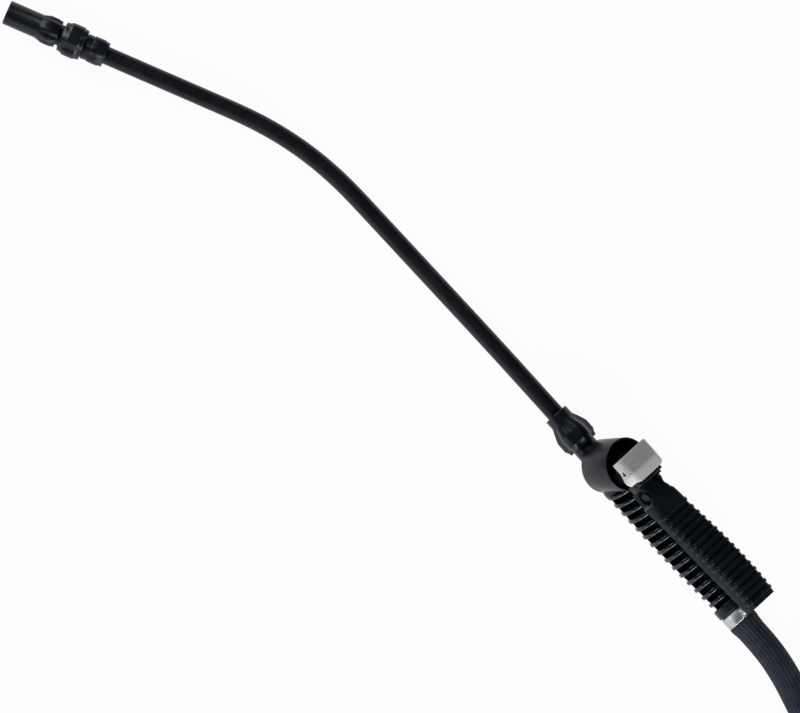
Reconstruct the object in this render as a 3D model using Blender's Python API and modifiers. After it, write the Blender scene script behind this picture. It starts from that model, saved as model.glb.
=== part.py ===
"""Spray lance: trigger handle with its valve, bent tube with an adjustable nozzle, and a coiled hose.

Metres, +Z up. The handle's own frame has X along its bore towards the hose, Y across it and Z towards
the lever; it lies rolled over by HANDLE_ROLL, as the lance lies on a floor.
"""

import math

import bmesh
import bpy
from mathutils import Matrix, Vector

CLEARANCE = 0.0003  # left between pieces that touch
HANDLE_ROLL = math.radians(-30)

# Tube
TUBE_RADIUS = 0.006825
TUBE_WALL = 0.0015
TUBE_FRONT = 0.0277  # its end inside the handle
BOW_START, BOW_LENGTH, BOW_ANGLE = 0.030, 0.060, math.radians(0.75)
BEND_START = 0.2005
BEND_LENGTH, BEND_EASE, BEND_ANGLE = 0.1445, 0.036, math.radians(23.65)
FAR_STRAIGHT = 0.0895  # from the bend to the tube nut

# Lance nut, ferrule, seal and the handle's spigot
SPIGOT_THREAD_RADIUS = 0.0092
SPIGOT_NECK_RADIUS = 0.00965
SPIGOT_FACE = 0.016
LANCE_NUT_FRONT, LANCE_NUT_BACK = 0.0043, 0.0356
LANCE_NUT_RADIUS = 0.0142
LANCE_NUT_SHOULDER = 0.0112
FERRULE_LENGTH = 0.0042
SEAL_LENGTH, SEAL_RADIUS = 0.003, 0.0081
WATERWAY_RADIUS = 0.004

# Valve drum, along its own axis from its bottom at the handle's bore
DRUM_X, DRUM_Z = 0.0565, -0.0009
DRUM_LEAN = math.radians(20.9)
DRUM_HEIGHT, DRUM_RADIUS, DRUM_WALL = 0.0319, 0.0202, 0.0018
DRUM_FLOOR, DRUM_CHAMFER = 0.006, 0.0008
TOWER_RADIUS, TOWER_TOP = 0.010, 0.0257
BOSS_RADIUS, BOSS_DEPTH = 0.009, 0.006
VALVE_HOLE_RADIUS = 0.003
CHAMBER_RADIUS, CHAMBER_FLOOR, CHAMBER_TOP = 0.0062, 0.0095, 0.0217
SEAT_THICKNESS = 0.002
STEM_RADIUS, STEM_HEAD_RADIUS, STEM_HEAD = 0.00175, 0.0053, 0.002
EYE_BOTTOM, EYE_TOP, EYE_HOLE = 0.031, 0.0385, 0.0355
EYE_HALF_WIDTH, EYE_HALF_LENGTH = 0.003, 0.004
LINK_PIN_RADIUS = 0.0016
BONNET_RADIUS, BONNET_FLANGE_RADIUS, BONNET_FLANGE = 0.0077, 0.0092, 0.003
RING_HEIGHT, RING_RADIUS = 0.0014, 0.0033
SPRING_WIRE, SPRING_RADIUS, SPRING_TURNS = 0.0008, 0.0046, 3.5
INLET_RADIUS, INLET_WALL = 0.0028, 0.0022
INLET_START = 0.100
INLET_RISE = math.radians(22)

# Grip
COLLAR_START, COLLAR_END, COLLAR_RADIUS = 0.074, 0.078, 0.014
RIB_COUNT, RIB_FIRST, RIB_PITCH = 15, 0.0796, 0.00782
RIB_THICKNESS, RIB_DEPTH = 0.0032, 0.0017
RIB_RADIUS, RIB_TAPER, RIB_TAPER_START, RIB_TAPER_LENGTH = 0.0141, 0.0028, 0.105, 0.084
RIB_LEAN = math.radians(21)
POCKET_SIDE, POCKET_BOTTOM, POCKET_TOP, POCKET_MARGIN = 0.0065, -0.007, 0.016, 0.0003
END_COLLAR_START, GRIP_END = 0.1947, 0.2026
END_COLLAR_RADIUS = 0.0123
STRAINER_BORE_START, STRAINER_BORE_RADIUS = 0.178, 0.0052
SOCKET_START, SOCKET_RADIUS = 0.1952, 0.008

# Lever
PIVOT_X, PIVOT_Z = 0.0956, 0.0324
LEVER_PIN_RADIUS, LEVER_PIN_HEAD_RADIUS, LEVER_PIN_HEAD = 0.00175, 0.00375, 0.0016
EAR_RADIUS, EAR_HALF_WIDTH = 0.0039, 0.0054
LEVER_WALL, LEVER_EDGE_RADIUS = 0.0022, 0.0035
CHANNEL_START, CHANNEL_WIDTH, CHANNEL_CROWN = 0.0883, 0.0108, 0.039
# distance along the handle, half width, height of the crown, height of the lower edge
LEVER_STATIONS = [
    (CHANNEL_START, CHANNEL_WIDTH, CHANNEL_CROWN, 0.021),
    (0.101, CHANNEL_WIDTH, CHANNEL_CROWN, 0.021),
    (0.103, 0.0125, CHANNEL_CROWN, 0.022),
    (0.114, 0.0138, 0.0384, 0.027),
    (0.118, 0.0139, 0.0373, 0.028),
    (0.130, 0.0138, 0.0395, 0.0286),
    (0.142, 0.0137, 0.0417, 0.0293),
    (0.154, 0.0136, 0.0436, 0.0298),
    (0.166, 0.0134, 0.0451, 0.0304),
    (0.1785, 0.0132, 0.0460, 0.031),
    (0.1905, 0.0128, 0.0470, 0.0315),
    (0.202, 0.0123, 0.0469, 0.0318),
    (0.212, 0.0121, 0.0459, 0.032),
]
LIP_FRONT, LIP_BACK, LIP_TOP, LIP_WIDTH = 0.082, 0.087, 0.0442, 0.0122
LIP_BOTTOM = 0.0265
RIDGE_COUNT, RIDGE_FIRST, RIDGE_PITCH = 16, 0.117, 0.006
RIDGE_HEIGHT, RIDGE_RADIUS = 0.0008, 0.0016
FORK_GAP, FORK_CHEEK, FORK_FRONT = 0.0034, 0.0028, 0.0645
FORK_BOTTOM, FORK_TOP, FORK_SLOT = 0.0285, 0.0358, 0.0013
BEARING_BOTTOM, BEARING_BACK = PIVOT_Z - 0.0081, PIVOT_X + 0.0069
BEARING_INNER, RECESS_FLOOR, RECESS_RADIUS = 0.0058, 0.0078, 0.0062
CLIP_THICKNESS, CLIP_RADIUS, CLIP_GROOVE_RADIUS = 0.0006, 0.004, 0.0013

# Thumb lock
LOCK_X, LOCK_Z, LOCK_PIN_RADIUS = 0.0719, 0.0412, 0.0015
LOCK_FRONT, LOCK_BACK, LOCK_WIDTH, LOCK_TOP = 0.0615, 0.0845, 0.0155, 0.0486
LOCK_WALL, LOCK_CORNER = 0.002, 0.006
LOCK_FRONT_EDGE, LOCK_BACK_EDGE, LOCK_STEP = 0.0408, 0.034, 0.077
LOCK_RIBS, LOCK_RIB_PITCH, LOCK_RIB_HEIGHT = 10, 0.0013, 0.0004
LUG_INNER, LUG_FRONT, LUG_BACK, LUG_TOP = 0.0107, 0.0667, 0.0765, 0.0447

# Inlet: strainer, seal, barb and clamp
STRAINER_RADIUS, STRAINER_WALL, STRAINER_LENGTH = 0.0044, 0.0008, 0.0145
STRAINER_FLANGE_RADIUS, STRAINER_FLANGE = 0.0069, 0.001
STRAINER_SEAL = 0.0015
BARB_TAIL_RADIUS, BARB_RADIUS, BARB_BORE = 0.0082, 0.009, 0.0055
BARB_LENGTH = 0.0175
HOSE_RADIUS, HOSE_BORE = 0.011, 0.0085
HOSE_END_LENGTH, HOSE_FLARE = 0.0208, 0.0119
CLAMP_WIDTH, CLAMP_THICKNESS, CLAMP_SQUEEZE = 0.009, 0.0008, 0.0001
CLAMP_EAR_GAP, CLAMP_EAR, CLAMP_EAR_TOP = 0.0012, 0.0012, 0.0068
SCREW_RADIUS, SCREW_HEAD_RADIUS, SCREW_HEAD = 0.002, 0.0035, 0.0026

# Nozzle, measured from its tip
TIP = 0.00075
BARREL_RADIUS, BARREL_LENGTH = 0.009375, 0.027
CAP_RADIUS, CAP_END, CAP_MOUTH_RADIUS = 0.0113, 0.043, 0.004
CAP_BORE_RADIUS, CAP_CORE_RADIUS, CAP_CORE_END = 0.0085, 0.0068, 0.022
BODY_NOSE, BODY_NOSE_END = 0.024, 0.0457
ADJUST_NUT_START, ADJUST_NUT_END, ADJUST_NUT_RADIUS = 0.04575, 0.06375, 0.01365
BODY_SHOULDER, BODY_SHOULDER_RADIUS = 0.060, 0.011
TUBE_NUT_START, TUBE_NUT_END, TUBE_NUT_RADIUS = 0.0645, 0.08175, 0.01085
NOZZLE_THREAD_RADIUS = 0.0092
BODY_END = 0.0735
TUBE_SOCKET = 0.058
COLLET_LENGTH = 0.0039
DISC_THICKNESS, DISC_HOLE_RADIUS = 0.0015, 0.00075
CORE_SLOTS, CORE_SLOT = 4, 0.0015
NOZZLE_SEAL, NOZZLE_GROOVE_RADIUS, NOZZLE_GROOVE_START = 0.0016, 0.0063, 0.025

# Hose beyond the clamp
COIL_X, COIL_Y = 0.465, -0.083
COIL_RADIUS, COIL_STEP, COIL_TURN = 0.110, 0.0228, 0.97
COIL_POINTS, COIL_LAYERS = 24, 4
COIL_ENTRY = math.radians(25.9)
LAST_TURN, END_LIFT = 0.26, 0.0045
FLOOR_GAP = 0.0001
# the free run's centreline from the clamp to the coil, and its height over the floor
HOSE_ROUTE = [
    (0.236, -0.0002, 0.01415),
    (0.248, -0.0010, 0.0140),
    (0.2606, -0.0029, 0.0135),
    (0.2726, -0.0055, 0.0128),
    (0.2825, -0.0082, 0.0121),
    (0.293, -0.0110, 0.0115),
    (0.311, -0.0147, 0.0111),
    (0.333, -0.0155, 0.0111),
    (0.355, -0.0115, 0.0111),
    (0.3765, -0.0036, 0.0111),
]
ROUTE_STEPS = 3

# Fitting on the hose's far end
END_NUT_RADIUS, END_NUT_LENGTH, END_NUT_WALL = 0.0148, 0.016, 0.0026
END_FLANGE, END_SEAL = 0.0025, 0.002

SMOOTH = 20
COARSE = 14


# ---------------------------------------------------------------- scene, looks and frames

def clear_scene():
    for old in list(bpy.data.objects):
        bpy.data.objects.remove(old, do_unlink=True)


def collection(name, hidden=False):
    made = bpy.data.collections.new(name)
    bpy.context.scene.collection.children.link(made)
    made.hide_render = hidden
    return made


def look(name, colour, roughness, metallic=0.0):
    material = bpy.data.materials.new(name)
    material.use_nodes = True
    shader = material.node_tree.nodes["Principled BSDF"]
    shader.inputs["Base Color"].default_value = (*colour, 1)
    shader.inputs["Roughness"].default_value = roughness
    shader.inputs["Metallic"].default_value = metallic
    return material


def frame(name, location=(0, 0, 0), rotation=(0, 0, 0), parent=None):
    made = bpy.data.objects.new(name, None)
    PARTS.objects.link(made)
    made.location = location
    made.rotation_euler = rotation
    made.parent = parent
    return made


clear_scene()
PARTS = collection("spray_lance")
CUTTERS = collection("cutters", hidden=True)

BLACK = look("black_plastic", (0.012, 0.013, 0.017), 0.42)
DRUM_GREY = look("lever_plastic", (0.02, 0.022, 0.028), 0.4)
PAD_GREY = look("thumb_lock_plastic", (0.55, 0.55, 0.53), 0.45)
TUBE_BLACK = look("coated_tube", (0.02, 0.021, 0.024), 0.3, 0.3)
STEEL = look("steel", (0.62, 0.62, 0.63), 0.25, 1.0)
BRASS = look("brass", (0.70, 0.52, 0.24), 0.32, 1.0)
RUBBER = look("hose_rubber", (0.018, 0.018, 0.02), 0.6)
SEALS = look("seal_rubber", (0.025, 0.02, 0.02), 0.7)
PALE = look("pale_plastic", (0.6, 0.6, 0.56), 0.5)

AXIS_HEIGHT = LANCE_NUT_RADIUS
STAND = frame("lance")
HANDLE = frame("handle", (0, 0, AXIS_HEIGHT), (HANDLE_ROLL, 0, 0), STAND)
BORE_LINE = frame("bore_line", rotation=(0, math.pi / 2, 0), parent=HANDLE)
VALVE_LINE = frame("valve_line", (DRUM_X, 0, DRUM_Z), (0, DRUM_LEAN, 0), HANDLE)
LEVER_PIVOT = frame("lever_pivot", (PIVOT_X, 0, PIVOT_Z), parent=HANDLE)
LOCK_PIVOT = frame("lock_pivot", (LOCK_X, 0, LOCK_Z), parent=HANDLE)
SWIVEL = frame("swivel", (0, 0, AXIS_HEIGHT), parent=STAND)


# ---------------------------------------------------------------- shapes

def finish(obj, parent, material=None):
    """Parents an object whose mesh is in its parent's frame, or in the handle's for a pivot's pieces."""
    obj.parent = parent
    if parent in (LEVER_PIVOT, LOCK_PIVOT):
        obj.location = -parent.location
    if material is None:
        CUTTERS.objects.link(obj)
        obj.hide_render = True
        obj.display_type = "WIRE"
    else:
        PARTS.objects.link(obj)
        obj.data.materials.append(material)
    return obj


def solid(name, shape, parent, material=None):
    """An object from a bmesh; without a material it is a cutter."""
    mesh = bpy.data.meshes.new(name)
    shape.to_mesh(mesh)
    shape.free()
    mesh.shade_smooth()
    mesh.set_sharp_from_angle(angle=math.radians(35))
    return finish(bpy.data.objects.new(name, mesh), parent, material)


def turned(name, outer, bore, parent, material=None, steps=SMOOTH):
    """A body of revolution about Z. Both profiles hold (height, radius), upwards; a solid has no bore."""
    profile = list(reversed(outer)) + list(bore)
    if not bore:
        profile.insert(0, (outer[-1][0], 0))
        if outer[0][1]:
            profile.append((outer[0][0], 0))
    edges = [(i, i + 1) for i in range(len(profile) - 1)]
    if bore:
        edges.append((len(profile) - 1, 0))
    mesh = bpy.data.meshes.new(name)
    mesh.from_pydata([(radius, 0, height) for height, radius in profile], edges, [])
    obj = finish(bpy.data.objects.new(name, mesh), parent, material)
    screw = obj.modifiers.new("Turn", "SCREW")
    screw.steps = screw.render_steps = steps
    screw.use_merge_vertices = True
    screw.merge_threshold = 0.00001
    screw.use_smooth_shade = True
    return obj


def block(name, low, high, parent, material=None):
    shape = bmesh.new()
    add_block(shape, low, high)
    return solid(name, shape, parent, material)


def add_block(shape, low, high, shear=0.0):
    """A box from corner to corner, its X shifted by shear times Z."""
    low, high = Vector(low), Vector(high)
    made = bmesh.ops.create_cube(shape, size=1)["verts"]
    for vertex in made:
        vertex.co = (low + high) / 2 + vertex.co * (high - low)
        vertex.co.x += vertex.co.z * shear


def add_rod(shape, start, end, radius, steps=COARSE, shear=0.0):
    start, end = Vector(start), Vector(end)
    turn = Vector((0, 0, 1)).rotation_difference(end - start).to_matrix().to_4x4()
    made = bmesh.ops.create_cone(
        shape, cap_ends=True, segments=steps, radius1=radius, radius2=radius,
        depth=(end - start).length, matrix=Matrix.Translation((start + end) / 2) @ turn,
    )["verts"]
    for vertex in made:
        vertex.co.x += vertex.co.z * shear


def rod(name, start, end, radius, parent, material=None, steps=COARSE):
    shape = bmesh.new()
    add_rod(shape, start, end, radius, steps)
    return solid(name, shape, parent, material)


def across(name, x, z, half_length, radius, parent, material=None):
    """A rod across the handle, through the given point."""
    return rod(name, (x, -half_length, z), (x, half_length, z), radius, parent, material)


def combine(obj, operation, tools):
    for tool in tools:
        made = obj.modifiers.new(tool.name, "BOOLEAN")
        made.operation = operation
        made.object = tool


def cut(obj, *tools):
    combine(obj, "DIFFERENCE", tools)


def join(obj, *tools):
    combine(obj, "UNION", tools)


def flutes(obj, count, radius, start, end, depth, flute):
    """Round flutes along a nut, which leave its lobes."""
    shape = bmesh.new()
    reach = radius + flute - depth
    for i in range(count):
        angle = 2 * math.pi * (i + 0.5) / count
        x, y = reach * math.cos(angle), reach * math.sin(angle)
        add_rod(shape, (x, y, start), (x, y, end), flute, 10)
    cut(obj, solid(obj.name + "_flutes", shape, obj.parent))


def tube(name, points, radius, resolution, parent, material=None):
    """A round tube along the points, as a mesh whose caps are closed."""
    curve = bpy.data.curves.new(name, "CURVE")
    curve.dimensions = "3D"
    curve.bevel_depth = radius
    curve.bevel_resolution = resolution
    curve.use_fill_caps = True
    line = curve.splines.new("POLY")
    line.points.add(len(points) - 1)
    for place, point in zip(line.points, points):
        place.co = (*point, 1)
    drawn = bpy.data.objects.new(name + "_line", curve)
    PARTS.objects.link(drawn)
    mesh = bpy.data.meshes.new_from_object(drawn.evaluated_get(bpy.context.evaluated_depsgraph_get()))
    bpy.data.objects.remove(drawn)
    shape = bmesh.new()
    shape.from_mesh(mesh)
    bmesh.ops.remove_doubles(shape, verts=shape.verts, dist=0.000001)
    bmesh.ops.recalc_face_normals(shape, faces=shape.faces)
    return solid(name, shape, parent, material)


# ---------------------------------------------------------------- lance: tube and its fixings

def bend_heading(distance):
    """The tube's turn away from the handle's axis, at a distance from the handle's datum."""
    bow = min(max((distance - BOW_START) / BOW_LENGTH, 0), 1) * BOW_ANGLE
    along = min(max(distance - BEND_START, 0), BEND_LENGTH)
    peak = BEND_ANGLE / (BEND_LENGTH - BEND_EASE)
    rise = min(along, BEND_EASE)
    fall = max(along - (BEND_LENGTH - BEND_EASE), 0)
    full = min(max(along - BEND_EASE, 0), BEND_LENGTH - 2 * BEND_EASE)
    turned_so_far = rise * rise / (2 * BEND_EASE) + full + fall - fall * fall / (2 * BEND_EASE)
    return bow + peak * turned_so_far


def tube_line():
    """The tube's centreline, and where its straight far end meets the tube nut."""
    end = BEND_START + BEND_LENGTH + FAR_STRAIGHT + TUBE_NUT_END - TUBE_SOCKET - CLEARANCE
    step = 0.001
    place, distance, points = Vector((0, 0, 0)), 0.0, [Vector((TUBE_FRONT, 0, 0)), Vector((-BOW_START, 0, 0))]
    count = round(end / step)
    for i in range(count):
        heading = bend_heading((i + 0.5) * end / count)
        place = place + Vector((-math.cos(heading), -math.sin(heading), 0)) * end / count
        distance += end / count
        bowed = BOW_START < distance < BEND_START and i % 40 == 0
        bent = BEND_START - step < distance < BEND_START + BEND_LENGTH + step and i % 11 == 0
        if bowed or bent:
            points.append(place)
    return points + [place]


def make_tube():
    line = tube_line()
    heading = bend_heading(1.0)
    back = Vector((math.cos(heading), math.sin(heading), 0))
    made = tube("lance_tube", line, TUBE_RADIUS, 5, SWIVEL, TUBE_BLACK)
    longer = [line[0] + Vector((0.002, 0, 0))] + line[1:-1] + [line[-1] - back * 0.002]
    cut(made, tube("lance_tube_bore", longer, TUBE_RADIUS - TUBE_WALL, 4, SWIVEL))
    tip = line[-1] - back * (TUBE_SOCKET + CLEARANCE)
    return frame("nozzle_line", tip, (0, math.pi / 2, heading), SWIVEL)


def make_lance_nut():
    front, back, radius = LANCE_NUT_FRONT, LANCE_NUT_BACK, LANCE_NUT_RADIUS
    nut = turned(
        "lance_nut",
        [(front, radius - 0.0045), (front + 0.007, radius - 0.0045), (front + 0.0085, radius - 0.004),
         (front + 0.0127, radius - 0.0021), (front + 0.0167, radius - 0.00055), (front + 0.0182, radius),
         (back - 0.00485, radius), (back - 0.0037, radius - 0.0008), (back - 0.0016, radius - 0.00165),
         (back, radius - 0.0021)],
        [(front, TUBE_RADIUS + CLEARANCE), (LANCE_NUT_SHOULDER, TUBE_RADIUS + CLEARANCE),
         (LANCE_NUT_SHOULDER, SPIGOT_THREAD_RADIUS + CLEARANCE), (back, SPIGOT_THREAD_RADIUS + CLEARANCE)],
        BORE_LINE, BLACK, 20,
    )
    flutes(nut, 6, radius, front + 0.0085, back + 0.002, 0.0012, 0.0045)


def make_lance_fixings():
    hold = TUBE_RADIUS + CLEARANCE
    start = LANCE_NUT_SHOULDER + CLEARANCE
    turned(
        "lance_ferrule",
        [(start, SPIGOT_THREAD_RADIUS), (start + FERRULE_LENGTH, SPIGOT_THREAD_RADIUS)],
        [(start, hold), (start + FERRULE_LENGTH, hold)],
        frame("ferrule_line", rotation=(0, math.pi / 2, 0), parent=SWIVEL), BRASS,
    )
    turned(
        "lance_seal",
        [(SPIGOT_FACE, SEAL_RADIUS), (SPIGOT_FACE + SEAL_LENGTH, SEAL_RADIUS)],
        [(SPIGOT_FACE, hold), (SPIGOT_FACE + SEAL_LENGTH, hold)],
        BORE_LINE, SEALS,
    )


# ---------------------------------------------------------------- nozzle

def make_nozzle(line):
    thread, hold = NOZZLE_THREAD_RADIUS, TUBE_RADIUS + CLEARANCE
    nose = CAP_BORE_RADIUS - CLEARANCE
    groove_end = NOZZLE_GROOVE_START + NOZZLE_SEAL + 2 * CLEARANCE
    turned(
        "nozzle_body",
        [(BODY_NOSE, nose), (NOZZLE_GROOVE_START, nose), (NOZZLE_GROOVE_START, NOZZLE_GROOVE_RADIUS),
         (groove_end, NOZZLE_GROOVE_RADIUS), (groove_end, nose), (BODY_NOSE_END, nose),
         (BODY_NOSE_END, thread), (BODY_SHOULDER, thread), (BODY_SHOULDER, BODY_SHOULDER_RADIUS),
         (ADJUST_NUT_END, BODY_SHOULDER_RADIUS), (ADJUST_NUT_END, thread), (BODY_END, thread)],
        [(BODY_NOSE, WATERWAY_RADIUS), (TUBE_SOCKET, WATERWAY_RADIUS), (TUBE_SOCKET, hold),
         (BODY_END, hold)],
        line, BLACK,
    )
    turned(
        "nozzle_seal",
        [(NOZZLE_GROOVE_START + CLEARANCE, nose), (groove_end - CLEARANCE, nose)],
        [(NOZZLE_GROOVE_START + CLEARANCE, NOZZLE_GROOVE_RADIUS + CLEARANCE),
         (groove_end - CLEARANCE, NOZZLE_GROOVE_RADIUS + CLEARANCE)],
        line, SEALS,
    )
    make_adjust_nut(line, thread)
    make_tube_nut(line, thread, hold)
    make_cap(line)


def make_adjust_nut(line, thread):
    start, end, radius = ADJUST_NUT_START, ADJUST_NUT_END, ADJUST_NUT_RADIUS
    nut = turned(
        "adjust_nut",
        [(start, radius - 0.0024), (start + 0.00225, radius - 0.00165), (start + 0.0045, radius - 0.00045),
         (start + 0.00525, radius), (end - 0.00415, radius), (end - 0.003, radius - 0.0009),
         (end - 0.00075, radius - 0.0011), (end, radius - 0.0018)],
        [(start, thread + CLEARANCE), (BODY_SHOULDER - CLEARANCE, thread + CLEARANCE),
         (BODY_SHOULDER - CLEARANCE, BODY_SHOULDER_RADIUS + CLEARANCE),
         (end, BODY_SHOULDER_RADIUS + CLEARANCE)],
        line, BLACK, 20,
    )
    flutes(nut, 6, radius, start - 0.002, end + 0.002, 0.0011, 0.0042)


def make_tube_nut(line, thread, hold):
    start, end, radius = TUBE_NUT_START, TUBE_NUT_END, TUBE_NUT_RADIUS
    seat = BODY_END + 2 * CLEARANCE + COLLET_LENGTH
    nut = turned(
        "tube_nut",
        [(start, radius - 0.001), (start + 0.005, radius - 0.0008), (start + 0.00525, radius),
         (end - 0.00375, radius), (end - 0.00225, radius - 0.00075), (end, radius - 0.001)],
        [(start, thread + CLEARANCE), (seat, thread + CLEARANCE), (seat, hold), (end, hold)],
        line, BLACK, 20,
    )
    flutes(nut, 6, radius, start - 0.002, end + 0.002, 0.0007, 0.0036)
    collet = turned(
        "tube_collet",
        [(BODY_END + CLEARANCE, thread), (seat - CLEARANCE - 0.001, thread), (seat - CLEARANCE,
            thread - 0.0007)],
        [(BODY_END + CLEARANCE, hold), (seat - CLEARANCE, hold)],
        line, PALE,
    )
    cut(collet, block("tube_collet_slit", (0, -0.0006, BODY_END - 0.001), (0.02, 0.0006, seat + 0.001), line))


def make_cap(line):
    collar = BARREL_LENGTH + TIP
    cap_floor = TIP + 0.0022
    cap = turned(
        "nozzle_cap",
        [(TIP, BARREL_RADIUS - 0.0006), (TIP + 0.0007, BARREL_RADIUS), (collar, BARREL_RADIUS),
         (collar + 0.00075, BARREL_RADIUS + 0.0003), (collar + 0.00525, CAP_RADIUS),
         (CAP_END - 0.00325, CAP_RADIUS), (CAP_END - 0.0018, CAP_RADIUS - 0.0006), (CAP_END,
             CAP_RADIUS - 0.0006)],
        [(TIP, CAP_MOUTH_RADIUS), (cap_floor, CAP_MOUTH_RADIUS), (cap_floor, CAP_CORE_RADIUS),
         (CAP_CORE_END, CAP_CORE_RADIUS), (CAP_CORE_END, CAP_BORE_RADIUS), (CAP_END, CAP_BORE_RADIUS)],
        line, BLACK, 20,
    )
    flutes(cap, 10, CAP_RADIUS, collar + 0.0035, CAP_END + 0.002, 0.0005, 0.0025)
    disc_start = cap_floor + CLEARANCE
    core_start = disc_start + DISC_THICKNESS + CLEARANCE
    turned(
        "nozzle_disc",
        [(disc_start, CAP_CORE_RADIUS - CLEARANCE), (disc_start + DISC_THICKNESS,
            CAP_CORE_RADIUS - CLEARANCE)],
        [(disc_start, DISC_HOLE_RADIUS), (disc_start + DISC_THICKNESS, DISC_HOLE_RADIUS)],
        line, STEEL,
    )
    core = turned(
        "swirl_core",
        [(core_start, CAP_CORE_RADIUS - CLEARANCE), (CAP_CORE_END - CLEARANCE, CAP_CORE_RADIUS - CLEARANCE)],
        [], line, PALE,
    )
    slots = bmesh.new()
    for i in range(CORE_SLOTS):
        angle = 2 * math.pi * i / CORE_SLOTS
        x, y = CAP_CORE_RADIUS * math.cos(angle), CAP_CORE_RADIUS * math.sin(angle)
        add_rod(slots, (x, y, core_start - 0.001), (x, y, CAP_CORE_END + 0.001), CORE_SLOT, 12)
    cut(core, solid("swirl_core_slots", slots, line))


# ---------------------------------------------------------------- handle: grip and valve housing

def rib_radius(x):
    past = max(x - RIB_TAPER_START, 0) / RIB_TAPER_LENGTH
    return RIB_RADIUS - RIB_TAPER * past * past


def rib_shear(x):
    """How far a rib leans towards the hose for each unit of height."""
    return math.tan(RIB_LEAN * (1 - (x - RIB_FIRST) / (RIB_PITCH * (RIB_COUNT - 1))))


def grip_profile():
    core = [COLLAR_END + 0.0005] + [RIB_FIRST + RIB_PITCH * i for i in range(2, RIB_COUNT, 2)]
    return (
        [(SPIGOT_FACE, SPIGOT_THREAD_RADIUS), (LANCE_NUT_BACK, SPIGOT_THREAD_RADIUS),
         (LANCE_NUT_BACK + CLEARANCE, SPIGOT_NECK_RADIUS), (DRUM_X, SPIGOT_NECK_RADIUS),
         (COLLAR_START - 0.006, COLLAR_RADIUS - 0.0015), (COLLAR_START, COLLAR_RADIUS),
         (COLLAR_END, COLLAR_RADIUS)]
        + [(x, rib_radius(x) - RIB_DEPTH) for x in core]
        + [(END_COLLAR_START, rib_radius(END_COLLAR_START) - RIB_DEPTH), (END_COLLAR_START,
            END_COLLAR_RADIUS),
           (GRIP_END - 0.0008, END_COLLAR_RADIUS), (GRIP_END, END_COLLAR_RADIUS - 0.0005)]
    )


def make_ribs():
    ribs, pockets = bmesh.new(), bmesh.new()
    for i in range(RIB_COUNT):
        x = RIB_FIRST + RIB_PITCH * i
        half = RIB_THICKNESS / 2
        add_rod(ribs, (x - half, 0, 0), (x + half, 0, 0), rib_radius(x), 16, rib_shear(x))
        if i == RIB_COUNT - 1:
            continue
        middle, wide = x + RIB_PITCH / 2, (RIB_PITCH - RIB_THICKNESS) / 2 - POCKET_MARGIN
        for low, high in ((-0.018, -POCKET_SIDE), (POCKET_SIDE, 0.018)):
            add_block(
                pockets, (middle - wide, low, POCKET_BOTTOM), (middle + wide, high, POCKET_TOP),
                rib_shear(middle),
            )
    return solid("grip_ribs", ribs, HANDLE), solid("grip_pockets", pockets, HANDLE)


def valve_point(height, side=0.0):
    """A point on the valve's axis in the handle's frame, or a distance beside it towards the hose."""
    return Vector((
        DRUM_X + height * math.sin(DRUM_LEAN) + side * math.cos(DRUM_LEAN), 0,
        DRUM_Z + height * math.cos(DRUM_LEAN) - side * math.sin(DRUM_LEAN),
    ))


def grip_bores():
    hold = TUBE_RADIUS + CLEARANCE
    seal_end = SPIGOT_FACE + SEAL_LENGTH + CLEARANCE
    tube_end = TUBE_FRONT + CLEARANCE
    inlet = Vector((INLET_START, 0, 0))
    run = (inlet.x - valve_point(CHAMBER_TOP - 0.0047, CHAMBER_RADIUS).x) / math.cos(INLET_RISE)
    up = Vector((-math.cos(INLET_RISE), 0, math.sin(INLET_RISE)))
    bonnet_bore = BONNET_RADIUS + CLEARANCE
    return [
        turned(
            "spigot_bore",
            [(SPIGOT_FACE - 0.001, SEAL_RADIUS + CLEARANCE), (seal_end, SEAL_RADIUS + CLEARANCE),
             (seal_end, hold), (tube_end, hold), (tube_end, WATERWAY_RADIUS), (DRUM_X + 0.004,
                 WATERWAY_RADIUS)],
            [], BORE_LINE,
        ),
        turned(
            "valve_bore",
            [(-0.001, VALVE_HOLE_RADIUS), (CHAMBER_FLOOR, VALVE_HOLE_RADIUS), (CHAMBER_FLOOR, CHAMBER_RADIUS),
             (CHAMBER_TOP, CHAMBER_RADIUS), (CHAMBER_TOP, bonnet_bore), (TOWER_TOP + 0.001, bonnet_bore)],
            [], VALVE_LINE, steps=24,
        ),
        turned(
            "inlet_bore",
            [(INLET_START - 0.002, WATERWAY_RADIUS), (STRAINER_BORE_START, WATERWAY_RADIUS),
             (STRAINER_BORE_START, STRAINER_BORE_RADIUS), (SOCKET_START, STRAINER_BORE_RADIUS),
             (SOCKET_START, SOCKET_RADIUS), (GRIP_END + 0.002, SOCKET_RADIUS)],
            [], BORE_LINE,
        ),
        rod("inlet_passage", inlet, inlet + up * run, INLET_RADIUS, HANDLE, steps=16),
    ], (inlet + up * (inlet.x - COLLAR_END) / math.cos(INLET_RISE), inlet + up * (run - 0.001))


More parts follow.
